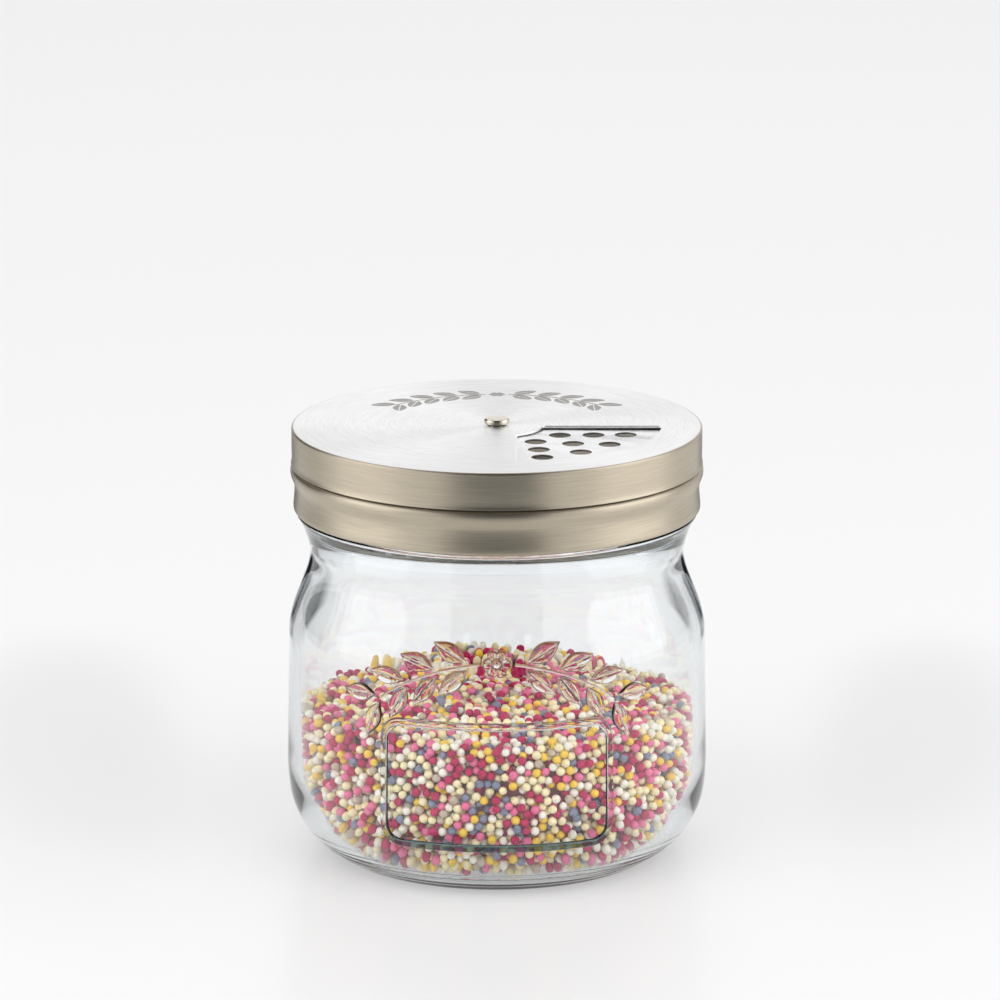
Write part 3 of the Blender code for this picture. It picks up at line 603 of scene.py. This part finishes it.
def makeGlassJar():
    s, t = jarSettings, threadSettings
    profile = jarInside(s["plainStep"])[:-1] + jarOutside()
    jar = turnProfile("glassJar", profile, s["spins"])
    count = len(jar.data.vertices)
    places = np.empty(count * 3, np.float32)
    jar.data.vertices.foreach_get("co", places)
    places = places.reshape(-1, 3).astype(float)
    reach = np.hypot(places[:, 0], places[:, 1])
    turn = np.arctan2(places[:, 1], places[:, 0])
    level = places[:, 2]
    neck = (reach > s["neckRadius"] - 0.2 * mm) & (level > t["bottom"]) & (level < t["top"])
    shift = np.zeros(count)
    shift[neck] = threadHeight(turn[neck], level[neck])
    places[:, 0] += shift * np.cos(turn)
    places[:, 1] += shift * np.sin(turn)
    jar.data.vertices.foreach_set("co", places.astype(np.float32).ravel())
    jar.data.update()
    painted = jar.data.attributes.new("paintedSlopeShade", "FLOAT_COLOR", "FACE")
    painted.data.foreach_set("color", [1.0] * (4 * len(jar.data.polygons)))
    cutWith(jar, joinAll([makeFrame(), makeBlossom(), *makeStems(), *makeLeaves()], "relief"), "UNION")
    for face in jar.data.polygons:
        face.material_index = 0
    print("glass jar", len(jar.data.polygons), "faces")
    finishPiece(jar, "jar", ["glass_jar"], glassMaterial())


makeGlassJar()

# Sugar balls: loose round the wall and over the top, on a core that nobody sees
ballSettings = {
    "radius": 0.835 * mm, "spread": 0.07, "gap": 0.1 * mm, "level": 30.6 * mm, "heap": 1.1 * mm,
    "shell": 3.9 * mm, "fill": 0.60, "rounds": 44, "seed": 7, "tries": 90000, "lowest": 4 * mm,
    "freshPairs": 4, "pairReach": 2.35, "push": 0.9, "wallStep": 0.8 * mm, "wallTop": 42 * mm,
    "roughness": 0.55, "grain": 0.10, "specular": 0.2, "smoothAngle": 80}
ballColours = {   # colour and share of the mixture
    "Raspberry": ((0.54, 0.009, 0.10), 0.20), "Pink": ((0.88, 0.18, 0.36), 0.13),
    "Cream": ((0.98, 0.86, 0.52), 0.24), "Ivory": ((0.97, 0.92, 0.79), 0.19),
    "Yellow": ((0.98, 0.64, 0.06), 0.13), "Slate": ((0.24, 0.26, 0.37), 0.06),
    "Stone": ((0.60, 0.49, 0.38), 0.06)}
# the core's colour is painted shade: the sugar's colour darkened, as sugar deep in the gaps between the balls
coreSettings = {"step": 1.5 * mm, "under": 6 * mm, "inset": 3.6 * mm, "least": 0.5 * mm, "edgeDrop": 3.4 * mm,
                "topDrop": 4.2 * mm, "spins": 96, "colour": (0.28, 0.08, 0.09), "roughness": 0.8,
                "grain": 0.3}


def wallPush(points, wall):
    # distance to the glass inside and the way back, in the plane of the axis
    reach = np.hypot(points[:, 0], points[:, 1])
    flat = np.stack((reach, points[:, 2]), 1)
    a, b = wall[:-1], wall[1:]
    along = b - a
    size = (along ** 2).sum(1)
    t = np.clip(((flat[:, None] - a[None]) * along[None]).sum(2) / size[None], 0, 1)
    nearest = a[None] + along[None] * t[..., None]
    gap = flat[:, None] - nearest
    far = np.hypot(gap[..., 0], gap[..., 1])
    pick = far.argmin(1)
    rows = np.arange(len(flat))
    normal = np.stack((-along[pick, 1], along[pick, 0]), 1) / np.sqrt(size[pick])[:, None]
    depth = (gap[rows, pick] * normal).sum(1)
    signed = np.where(depth >= 0, far[rows, pick], -far[rows, pick])
    return signed, normal, reach


def topLevel(x, y):
    s = ballSettings
    ripple = 0.35 * mm * np.sin(x / (7 * mm) + 1.3) * np.cos(y / (9 * mm) + 0.4)
    ripple += 0.25 * mm * np.sin((x + y) / (4.1 * mm))
    return s["level"] + s["heap"] * (1 - (x * x + y * y) / insideRadius ** 2) + ripple


def nearPairs(points):
    tree = kdtree.KDTree(len(points))
    for i, point in enumerate(points):
        tree.insert(point, i)
    tree.balance()
    near = []
    for i, point in enumerate(points):
        found = tree.find_range(point, ballSettings["pairReach"] * ballSettings["radius"])
        near += [(i, j) for place, j, far in found if j > i]
    return np.array(near)


def settleBalls():
    s = ballSettings
    rng = np.random.default_rng(s["seed"])
    wall = np.array([point for point in jarInside(s["wallStep"]) if point[1] < s["wallTop"]])
    x = rng.uniform(-insideRadius, insideRadius, s["tries"])
    y = rng.uniform(-insideRadius, insideRadius, s["tries"])
    z = rng.uniform(s["lowest"], s["level"] + s["heap"] + mm, s["tries"])
    points = np.stack((x, y, z), 1)
    signed = wallPush(points, wall)[0]
    under = topLevel(x, y) - z
    inShell = (signed > s["radius"]) & (under > s["radius"]) & (np.minimum(signed, under) < s["shell"])
    box = (2 * insideRadius) ** 2 * (s["level"] + s["heap"] - 3 * mm)
    volume = box * inShell.mean()
    wanted = int(volume * s["fill"] / (4 / 3 * math.pi * s["radius"] ** 3))
    points = points[inShell][:wanted]
    radii = s["radius"] * (1 + s["spread"] * rng.uniform(-1, 1, len(points)))
    for turn in range(s["rounds"]):
        if turn % s["freshPairs"] == 0:
            pairs = nearPairs(points)
        a, b = pairs[:, 0], pairs[:, 1]
        gap = points[b] - points[a]
        far = np.maximum(np.sqrt((gap ** 2).sum(1)), 1e-7)
        lap = np.maximum(radii[a] + radii[b] - far, 0)
        push = gap / far[:, None] * (lap * 0.5)[:, None]
        move = np.zeros_like(points)
        np.add.at(move, b, push)
        np.add.at(move, a, -push)
        points = points + move * s["push"]
        signed, normal, reach = wallPush(points, wall)
        short = np.maximum(radii + s["gap"] - signed, 0)
        reach = np.maximum(reach, 1e-6)
        points[:, 0] += normal[:, 0] * short * points[:, 0] / reach
        points[:, 1] += normal[:, 0] * short * points[:, 1] / reach
        points[:, 2] += normal[:, 1] * short
        top = topLevel(points[:, 0], points[:, 1]) - radii
        points[:, 2] = np.minimum(points[:, 2], top)
    return points, radii


def makeSugarBalls():
    s = ballSettings
    points, radii = settleBalls()
    deselectAll()
    bpy.ops.mesh.primitive_ico_sphere_add(subdivisions=2, radius=1)
    model = bpy.context.object
    shape = np.array([vertex.co for vertex in model.data.vertices])
    faces = np.array([list(face.vertices) for face in model.data.polygons])
    bpy.data.objects.remove(model, do_unlink=True)
    rng = np.random.default_rng(s["seed"] + 1)
    shares = np.array([share for colour, share in ballColours.values()])
    chosen = rng.choice(len(shares), len(points), p=shares / shares.sum())
    turns = rng.uniform(0, math.tau, (len(points), 3))
    for k, (name, (colour, share)) in enumerate(ballColours.items()):
        mine = np.flatnonzero(chosen == k)
        verts = np.empty((len(mine), len(shape), 3))
        for n, i in enumerate(mine):
            ca, sa = math.cos(turns[i, 0]), math.sin(turns[i, 0])
            cb, sb = math.cos(turns[i, 1]), math.sin(turns[i, 1])
            upright = np.array(((ca, -sa, 0), (sa, ca, 0), (0, 0, 1)))
            tilted = np.array(((1, 0, 0), (0, cb, -sb), (0, sb, cb)))
            verts[n] = points[i] + radii[i] * shape @ (upright @ tilted).T
        allFaces = faces[None] + (np.arange(len(mine)) * len(shape))[:, None, None]
        balls = newPiece("sugar" + name, verts.reshape(-1, 3).tolist(), allFaces.reshape(-1, 3).tolist())
        finish = plainMaterial("sugar" + name, colour, s["roughness"], 0.0, s["grain"], s["specular"])
        finishPiece(balls, "jar", ["sprinkles"], finish, s["smoothAngle"])
    print("sugar balls", len(points))


def makeSugarCore():
    s, c = ballSettings, coreSettings
    inside = [point for point in jarInside(c["step"]) if point[1] < s["level"] - c["under"]]
    skin = [(max(r, 0), z) for r, z in offsetPath(inside, -c["inset"])]
    skin[0] = (0, skin[0][1])
    skin = [point for i, point in enumerate(skin) if i == 0 or point[0] > c["least"]]
    skin.append((skin[-1][0] - c["least"], s["level"] - c["edgeDrop"]))
    skin.append((0, s["level"] + s["heap"] - c["topDrop"]))
    core = turnProfile("sugarCore", skin, c["spins"])
    finish = plainMaterial("sugarCore", c["colour"], c["roughness"], 0.0, c["grain"])
    finishPiece(core, "jar", ["sprinkles"], finish)


makeSugarBalls()
makeSugarCore()

# Steel lid
lidSettings = {
    "sheet": 0.35 * mm, "sieveTop": 83.05 * mm, "capRadius": 38.7 * mm, "capCorner": 0.9 * mm,
    "beadDepth": 0.9 * mm, "beadHeight": 3.8 * mm, "beadTop": 76.3 * mm, "beadStep": 0.22 * mm,
    "bandLevel": 71.2 * mm, "bandFlare": 0.15 * mm, "hemFlare": 0.2 * mm, "hemRadius": 0.5 * mm,
    "hemBottom": 67.7 * mm, "hemSteps": 14,
    "lugLevel": 68.5 * mm, "lugTip": 37.2 * mm, "lugSize": (1.5 * mm, 7.6 * mm, 1.1 * mm),
    "lugRound": 0.3 * mm,
    "selectorTop": 83.7 * mm, "selectorRadius": 39.35 * mm, "selectorCorner": 0.4 * mm,
    "selectorBottom": 76.6 * mm, "lipRise": 3 * mm, "lipHeight": 0.6 * mm, "lipFlare": 0.15 * mm,
    "lipStep": 0.25 * mm, "holeRadius": 1.8 * mm, "plateInset": 3 * mm, "edgeRound": 0.05 * mm,
    "cutReach": 2 * mm, "cutUnder": 0.15 * mm, "steps": 256,
    "paintedShadeInset": 1.2 * mm, "paintedShadeDrop": 0.03 * mm, "paintedShadeColour": (0.20, 0.19, 0.17),
    "topEdge": 0.3 * mm, "bandEdge": 0.6 * mm}
beadShares = ((0.0, -0.2), (0.1, -0.02), (0.45, 0.03), (0.82, 0.11), (0.99, 0.24), (0.98, 0.38), (0.82, 0.54),
              (0.55, 0.70), (0.30, 0.86), (0.18, 1.0))     # depth and drop
windowSettings = {"inner": 8.8 * mm, "outer": 31.5 * mm, "sideInset": 3.2 * mm, "backInset": 0.6 * mm,
                  "corner": 1.2 * mm, "cornerSteps": 6, "margin": 1.0 * mm, "angle": -45.0, "sieveTurn": -3.5,
                  "arcSteps": 32}
sieveSettings = {
    "coarseRadius": 2.1 * mm, "coarseRow": 13.4 * mm, "coarsePitch": 5.9 * mm, "coarseSides": 48,
    "coarseRows": ((2, 30.4), (3, 48.4), (4, 57.3)),
    "fineRadius": 0.9 * mm, "fineRow": 13.5 * mm, "finePitch": 4.7 * mm, "fineSides": 24,
    "fineRows": ((3, 38), (4, 50), (5, 58), (6, 62))}


def capTop(level, radius, corner, steps):
    # the plate from its hole outwards, and the rounded corner to the skirt
    s = lidSettings
    flat = [(s["holeRadius"], level), (radius - s["plateInset"], level)]
    return flat + arcPoints((radius - corner, level - corner), corner, 90, 0, steps)


def screwCapPath():
    s = lidSettings
    bead = [(s["capRadius"] + s["beadDepth"] * depth, s["beadTop"] - s["beadHeight"] * drop)
            for depth, drop in beadShares]
    band = s["capRadius"] + s["bandFlare"]
    bead += [(band, s["bandLevel"]), (band + s["hemFlare"], s["hemBottom"] + 2 * s["hemRadius"])]
    return capTop(s["sieveTop"], s["capRadius"], s["capCorner"], 6) + smoothThrough(bead, s["beadStep"])


def drillHoles(name, places, bottom, top):
    drills = []
    for radius, spot, sides in places:
        deselectAll()
        bpy.ops.mesh.primitive_cylinder_add(vertices=sides, radius=radius, depth=top - bottom,
                                            location=(spot[0], spot[1], (bottom + top) / 2))
        drills.append(bpy.context.object)
    return joinAll(drills, name)


def quarterCutter(name, middle, insets, margin, bottom, top):
    w = windowSettings
    n = w["arcSteps"]
    outline = []
    for radius, forward in ((w["inner"] + margin, False), (w["outer"] - margin, True)):
        start, end = (math.degrees(math.asin((inset + margin) / radius)) for inset in insets)
        angles = [middle - 45 + start + (90 - start - end) * i / n for i in range(n + 1)]
        if not forward:
            angles.reverse()
        outline += [(radius * math.cos(math.radians(a)), radius * math.sin(math.radians(a))) for a in angles]
    cutter = prismFrom(name, outline, bottom, top)
    corners = [Vector((*outline[i], 0)) for i in (0, n, n + 1, 2 * n + 1)]
    for edge in cutter.data.edges:
        a, b = (cutter.data.vertices[i].co for i in edge.vertices)
        upright = abs(a.z - b.z) > mm / 2
        edge.select = upright and any((Vector((a.x, a.y, 0)) - spot).length < 0.05 * mm for spot in corners)
    goTo("EDIT")
    bpy.ops.mesh.select_mode(type="EDGE")
    bpy.ops.mesh.bevel(offset=w["corner"], segments=w["cornerSteps"], affect="EDGES")
    goTo("OBJECT")
    return cutter


def rowPlaces(kind, middle):
    v = sieveSettings
    places = []
    for row, (count, spread) in enumerate(v[kind + "Rows"]):
        reach = v[kind + "Row"] + v[kind + "Pitch"] * row
        for i in range(count):
            a = math.radians(middle + spread * (i / (count - 1) - 0.5))
            places.append((v[kind + "Radius"], (reach * math.cos(a), reach * math.sin(a)), v[kind + "Sides"]))
    return places


steelTop = brushedSteel("brushedSteelTop", lidSettings["selectorRadius"] - lidSettings["topEdge"])
steelBand = brushedSteel("brushedSteelBand", lidSettings["capRadius"] - lidSettings["bandEdge"])


def makeLugs():
    s = lidSettings
    lugs = []
    for i in range(threadSettings["starts"]):
        deselectAll()
        bpy.ops.mesh.primitive_cube_add(size=1)
        lug = bpy.context.object
        lug.scale = s["lugSize"]
        lug.location = (s["lugTip"] + s["lugSize"][0] / 2, 0, s["lugLevel"])
        bpy.ops.object.transform_apply()
        editAll()
        bpy.ops.mesh.bevel(offset=s["lugRound"], segments=3, affect="EDGES")
        goTo("OBJECT")
        lug.rotation_euler = (0, 0, math.radians(-90 + 90 * i))
        bpy.ops.object.transform_apply()
        lugs.append(lug)
    finishPiece(joinAll(lugs, "capLugs"), "cap", [], steelBand)


def makeScrewCap():
    s, w = lidSettings, windowSettings
    outside = screwCapPath()
    inside = offsetPath(outside, s["sheet"])
    hemCentre = (outside[-1][0] - s["hemRadius"], s["hemBottom"] + s["hemRadius"])
    hem = arcPoints(hemCentre, s["hemRadius"], 0, -180, s["hemSteps"])
    hem.append((inside[-1][0], s["hemBottom"] + 2 * s["hemRadius"] + s["sheet"]))
    inside[0] = (s["holeRadius"], s["sieveTop"] - s["sheet"])
    cap = turnProfile("screwCap", outside + hem + inside[-2::-1], s["steps"], closed=True)
    bottom, top = s["sieveTop"] - s["cutReach"], s["sieveTop"] + s["cutReach"]
    middle = w["angle"] - w["sieveTurn"]
    holes = rowPlaces("coarse", middle) + rowPlaces("fine", middle + 180)
    cutWith(cap, drillHoles("drills", holes, bottom, top))
    insets = w["sideInset"], w["sideInset"]
    cutWith(cap, quarterCutter("pourCutter", middle + 90, insets, w["margin"], bottom, top))
    bevelEdges(cap, s["edgeRound"], 2, 60)
    makeLugs()
    # painted shade: the underside of the sieve plate and the walls of its holes and window take a dark steel
    coat(cap, steelBand, plainMaterial("paintedShadeSteel", s["paintedShadeColour"], 0.55, 1.0, 0.06))
    for face in cap.data.polygons:
        reach = math.hypot(face.center.x, face.center.y)
        under = reach < s["capRadius"] - s["paintedShadeInset"] and face.center.z < s["sieveTop"] - s["paintedShadeDrop"]
        face.material_index = 1 if under else 0
    print("screw cap", len(cap.data.polygons), "faces")
    finishPiece(cap, "cap", ["screw_cap"], None)


etchSettings = {"radius": 25.6 * mm, "spread": 50.0, "stem": 0.45 * mm, "stemStart": 5, "stemSteps": 40,
                "leafLength": 5.0 * mm, "leafWidth": 2.5 * mm, "leafGap": 0.4 * mm, "leafSteps": 14,
                "vein": 0.22 * mm, "depth": 0.06 * mm, "above": 0.5 * mm, "pairs": 5, "lean": 38,
                "blossom": 1.6 * mm, "blossomSides": 48, "colour": (0.50, 0.48, 0.45)}


def onPlate(radius, degrees):
    a = math.radians(90 + degrees)
    return Vector((radius * math.cos(a), radius * math.sin(a)))


def arcBand(inner, outer, start, end, steps):
    angles = [start + (end - start) * i / steps for i in range(steps + 1)]
    return [onPlate(outer, a) for a in angles] + [onPlate(inner, a) for a in reversed(angles)]


def halfLeaf(root, ahead, across):
    e = etchSettings
    leaf = [root + across * e["vein"] / 2]
    for k in range(1, e["leafSteps"]):
        t = k / e["leafSteps"]
        wide = e["vein"] / 2 + e["leafWidth"] / 2 * math.sin(math.pi * t ** 0.85) ** 0.85
        leaf.append(root + ahead * e["leafLength"] * t + across * wide)
    return leaf + [root + ahead * e["leafLength"] * 0.97 + across * e["vein"] / 2]


def etchedSprig(bottom, top):
    # a generic leaf sprig behind the rivet, each leaf in two halves beside a bare vein
    e = etchSettings
    outlines = []
    for side in (-1, 1):
        outlines.append(arcBand(e["radius"] - e["stem"] / 2, e["radius"] + e["stem"] / 2,
                                side * e["stemStart"], side * e["spread"], e["stemSteps"]))
        for i in range(e["pairs"]):
            at = side * (7.5 + (e["spread"] - 9) * i / (e["pairs"] - 1))
            for up in (-1, 1):
                root = onPlate(e["radius"] + up * (e["stem"] / 2 + e["leafGap"]), at)
                ahead = (onPlate(e["radius"], at + side) - onPlate(e["radius"], at)).normalized()
                ahead.rotate(Matrix.Rotation(math.radians(side * -up * e["lean"]), 2))
                across = Vector((-ahead.y, ahead.x))
                outlines += [halfLeaf(root, ahead, across * half) for half in (-1, 1)]
    middle = onPlate(e["radius"], 0)
    bloom = []
    for k in range(e["blossomSides"]):
        a = math.tau * k / e["blossomSides"]
        reach = e["blossom"] * (0.7 + 0.3 * abs(math.cos(3 * a)) ** 0.7)
        bloom.append(middle + reach * Vector((math.cos(a), math.sin(a))))
    outlines.append(bloom)
    tool = joinAll([prismFrom("etch", outline, bottom, top) for outline in outlines], "etchTool")
    tool.data.materials.append(plainMaterial("etchedSteel", e["colour"], 0.60, 1.0, 0.10))
    return tool


def makeSelectorCap():
    s, w = lidSettings, windowSettings
    outside = capTop(s["selectorTop"], s["selectorRadius"], s["selectorCorner"], 8)
    skirt = [outside[-1], (s["selectorRadius"], s["selectorBottom"] + s["lipRise"]),
             (s["selectorRadius"], s["selectorBottom"] + s["lipHeight"]),
             (s["selectorRadius"] + s["lipFlare"], s["selectorBottom"])]
    outside += smoothThrough(skirt, s["lipStep"])[1:]
    inside = offsetPath(outside, s["sheet"])
    inside[0] = (s["holeRadius"], s["selectorTop"] - s["sheet"])
    selector = turnProfile("selectorCap", outside + inside[::-1], s["steps"], closed=True)
    cutWith(selector, quarterCutter("windowCutter", w["angle"], (w["sideInset"], w["backInset"]), 0,
                                    s["selectorTop"] - s["sheet"] - s["cutUnder"],
                                    s["selectorTop"] + s["cutReach"]))
    bevelEdges(selector, s["edgeRound"], 2, 60)
    coat(selector, steelTop)
    for face in selector.data.polygons:
        face.material_index = 0
    cutWith(selector, etchedSprig(s["selectorTop"] - etchSettings["depth"],
                                  s["selectorTop"] + etchSettings["above"]))
    print("selector cap", len(selector.data.polygons), "faces")
    finishPiece(selector, "selector", ["selector_cap"], None)


rivetSettings = {
    "seat": 84.0 * mm, "radius": 2.45 * mm, "round": 0.45 * mm, "roundLevel": 0.62 * mm, "shank": 1.5 * mm,
    "domeStep": 0.2 * mm, "domeShares": ((0, 1.2 * mm), (0.45, 1.18 * mm), (0.72, 1.12 * mm)),
    "rim": ((0, 0.3 * mm), (0.12 * mm, 0.08 * mm), (0.3 * mm, 0)),
    "tailRadius": 2.7 * mm, "tailTop": 81.5 * mm, "tailEdge": 81.15 * mm, "tailBottom": 80.8 * mm,
    "edgeRound": 0.05 * mm, "spins": 64, "colour": (0.72, 0.67, 0.56)}
washerSettings = {"inner": 1.8 * mm, "outer": 5.0 * mm, "top": 82.4 * mm, "bottom": 81.8 * mm, "spins": 72,
                  "edgeRound": 0.12 * mm, "segments": 3, "colour": (0.62, 0.61, 0.58)}
sealSettings = {"inner": 32.8 * mm, "outer": 37.5 * mm, "top": 82.4 * mm, "bottom": 81.3 * mm, "spins": 192,
                "edgeRound": 0.25 * mm, "segments": 4, "colour": (0.80, 0.79, 0.76)}


def makeRivet():
    s = rivetSettings
    profile = smoothThrough([(s["radius"] * share, s["seat"] + rise) for share, rise in s["domeShares"]],
                            s["domeStep"])
    profile += arcPoints((s["radius"] - s["round"], s["seat"] + s["roundLevel"]), s["round"], 70, 0, 6)
    profile += [(s["radius"] - inset, s["seat"] + rise) for inset, rise in s["rim"]]
    profile += [(s["shank"], s["seat"]), (s["shank"], s["tailTop"]), (s["tailRadius"], s["tailTop"]),
                (s["tailRadius"], s["tailEdge"]), (s["shank"], s["tailBottom"]), (0, s["tailBottom"])]
    rivet = turnProfile("rivetHead", profile, s["spins"])
    bevelEdges(rivet, s["edgeRound"], 2, 40)
    finish = plainMaterial("rivetSteel", s["colour"], 0.18, 1.0, 0.05)
    finishPiece(rivet, "cap", ["rivet"], finish)


def flatRing(name, s):
    profile = [(s["inner"], s["top"]), (s["outer"], s["top"]),
               (s["outer"], s["bottom"]), (s["inner"], s["bottom"])]
    ring = turnProfile(name, profile, s["spins"], closed=True)
    bevelEdges(ring, s["edgeRound"], s["segments"], 40)
    return ring


def makeRings():
    finish = plainMaterial("washerSteel", washerSettings["colour"], 0.32, 1.0, 0.08)
    finishPiece(flatRing("backingWasher", washerSettings), "cap", ["backing_washer"], finish)
    finish = plainMaterial("sealWhite", sealSettings["colour"], 0.5, 0.0, 0.03)
    finishPiece(flatRing("sealRing", sealSettings), "seal", ["seal_ring"], finish)
    print("rivet, washer and seal ready")


makeScrewCap()
makeSelectorCap()
makeRivet()
makeRings()

# Stage: pale table and surround, soft boxes at both sides, a dark room in front and overhead
stageSettings = {"background": 1.0, "ambient": 0.56, "table": 0.76, "tableRoughness": 0.30, "glow": 0.93,
                 "glowShare": 0.41, "sugarLift": 1.0, "tableSize": 6, "aim": (0, 0, 0.05), "fadeStart": 0.50}


def seenDirectly(tree):
    # 1 for the rays of the camera, of reflections and of clear glass
    value = addNode(tree, "LightPath", {}, "Is Camera Ray")
    for name in ("Is Glossy Ray", "Is Transmission Ray"):
        other = addNode(tree, "LightPath", {}, name)
        value = addNode(tree, "Math", {0: value, 1: other}, operation="MAXIMUM")
    return value


def afterMatt(tree):
    # 1 for the rays that have left a matt surface
    depth = addNode(tree, "LightPath", {}, "Diffuse Depth")
    return addNode(tree, "Math", {0: depth, 1: 0.5}, operation="GREATER_THAN")


def makeStage():
    s = stageSettings
    deselectAll()
    bpy.ops.mesh.primitive_plane_add(size=s["tableSize"], location=(0, 0, 0))
    table = bpy.context.object
    table.name = "table"
    made, tree, shader = newMaterial("paleTable")
    setInputs(tree, shader, {"Base Color": (s["table"], s["table"], s["table"], 1),
                             "Roughness": s["tableRoughness"]})
    glow = addNode(tree, "Emission", {"Color": (s["glow"] * 0.99, s["glow"] * 0.99, s["glow"], 1)})
    share = addNode(tree, "Math", {0: seenDirectly(tree), 1: s["glowShare"]}, operation="MULTIPLY")
    both = addNode(tree, "MixShader", {0: share, 1: shader.outputs[0], 2: glow})
    setInputs(tree, tree.nodes["Material Output"], {"Surface": both})
    table.data.materials.append(made)
    world = bpy.context.scene.world or bpy.data.worlds.new("studio")
    bpy.context.scene.world = world
    world.use_nodes = True
    tree = world.node_tree
    tree.nodes.clear()
    level = addNode(tree, "Math", {0: afterMatt(tree), 1: s["sugarLift"], 2: s["background"]},
                    operation="MULTIPLY_ADD")
    shown = addNode(tree, "Background", {"Color": (0.985, 0.985, 1.0, 1), "Strength": level})
    lit = addNode(tree, "Background", {"Color": (1, 1, 1, 1), "Strength": s["ambient"]})
    choose = addNode(tree, "MixShader", {0: seenDirectly(tree), 1: lit, 2: shown})
    setInputs(tree, tree.nodes.new("ShaderNodeOutputWorld"), {"Surface": choose})


def softBox(name, location, width, height, radiance, glossy):
    deselectAll()
    bpy.ops.object.light_add(type="AREA", location=location)
    lamp = bpy.context.object
    lamp.name = name
    lamp.data.shape = "RECTANGLE"
    lamp.data.size = width
    lamp.data.size_y = height
    lamp.data.energy = radiance * math.pi * width * height
    aim = Vector(stageSettings["aim"]) - Vector(location)
    lamp.rotation_mode = "QUATERNION"
    lamp.rotation_quaternion = aim.to_track_quat("-Z", "Y")
    lamp.visible_camera = False
    lamp.visible_glossy = glossy


def softEdge(tree, low, high):
    # 0 in the middle of an upright card, 1 past the ellipse that touches its sides
    place = addNode(tree, "TexCoord", {}, "Object")
    centred = addNode(tree, "VectorMath", {0: place, 1: (low + high) / 2}, operation="SUBTRACT")
    scale = (2 / abs(high.x - low.x), 0, 2 / abs(high.z - low.z))
    scaled = addNode(tree, "VectorMath", {0: centred, 1: scale}, operation="MULTIPLY")
    reach = addNode(tree, "VectorMath", {0: scaled}, "Value", operation="LENGTH")
    return addNode(tree, "MapRange", {"Value": reach, "From Min": stageSettings["fadeStart"]},
                   interpolation_type="SMOOTHSTEP")


def darkCard(name, corners, colour, soft=False):
    # dark in reflections and through clear glass, and no shade for the sugar behind the glass
    deselectAll()
    bpy.ops.mesh.primitive_plane_add(size=1)
    card = bpy.context.object
    card.name = name
    for vertex, spot in zip(card.data.vertices, (corners[0], corners[1], corners[3], corners[2])):
        vertex.co = spot
    made, tree, shader = newMaterial(name)
    setInputs(tree, shader, {"Base Color": (*colour, 1), "Roughness": 1.0, "Specular IOR Level": 0.0})
    gone = afterMatt(tree)
    if soft:
        fade = softEdge(tree, Vector(corners[0]), Vector(corners[2]))
        gone = addNode(tree, "Math", {0: gone, 1: fade}, operation="MAXIMUM")
    clear = addNode(tree, "BsdfTransparent", {})
    either = addNode(tree, "MixShader", {0: gone, 1: shader.outputs[0], 2: clear})
    setInputs(tree, tree.nodes["Material Output"], {"Surface": either})
    card.data.materials.append(made)
    card.visible_camera = False
    card.visible_diffuse = False
    card.visible_shadow = False


def upright(x, y, endX, endY, low, high):
    return (x, y, low), (endX, endY, low), (endX, endY, high), (x, y, high)


makeStage()
for name, location, width, height, radiance, glossy in (
        ("leftBox", (-1.2, -0.25, 0.55), 1.0, 1.2, 0.94, True),
        ("rightBox", (1.2, -0.15, 0.55), 1.2, 1.2, 1.14, True),
        ("leftFill", (-0.62, -0.75, 1.10), 1.1, 1.0, 2.3, False),
        ("rightFill", (0.62, -0.75, 1.10), 1.1, 1.0, 2.3, False),
        ("backTop", (0, 1.15, 1.20), 1.3, 0.8, 1.6, False)):
    softBox(name, location, width, height, radiance, glossy)
darkCard("frontCard", ((-0.5, -1.49, 0.004), (0.5, -1.49, 0.004), (0.10, -0.20, 0.004),
                       (-0.10, -0.20, 0.004)), (0.085, 0.115, 0.140))
darkCard("frontWall", upright(-0.8, -1.5, 0.8, -1.5, 0.0, 1.5), (0.07, 0.07, 0.07))
darkCard("ceiling", ((-1.0, -1.5, 1.5), (1.0, -1.5, 1.5), (1.0, 0.2, 1.5), (-1.0, 0.2, 1.5)),
         (0.08, 0.08, 0.08))
for name, side, tone in (("leftBackCard", -1, 0.10), ("rightBackCard", 1, 0.60)):
    darkCard(name, upright(side * 1.35, 0.5, side * 0.5, 1.3, 0.01, 1.2), (tone, tone, tone))
for name, side in (("leftFlag", -1), ("rightFlag", 1)):
    darkCard(name, upright(side * 0.062, 0.17, side * 0.128, 0.17, 0.002, 0.056), (0.020, 0.028, 0.036), True)
print("stage and lamps ready")
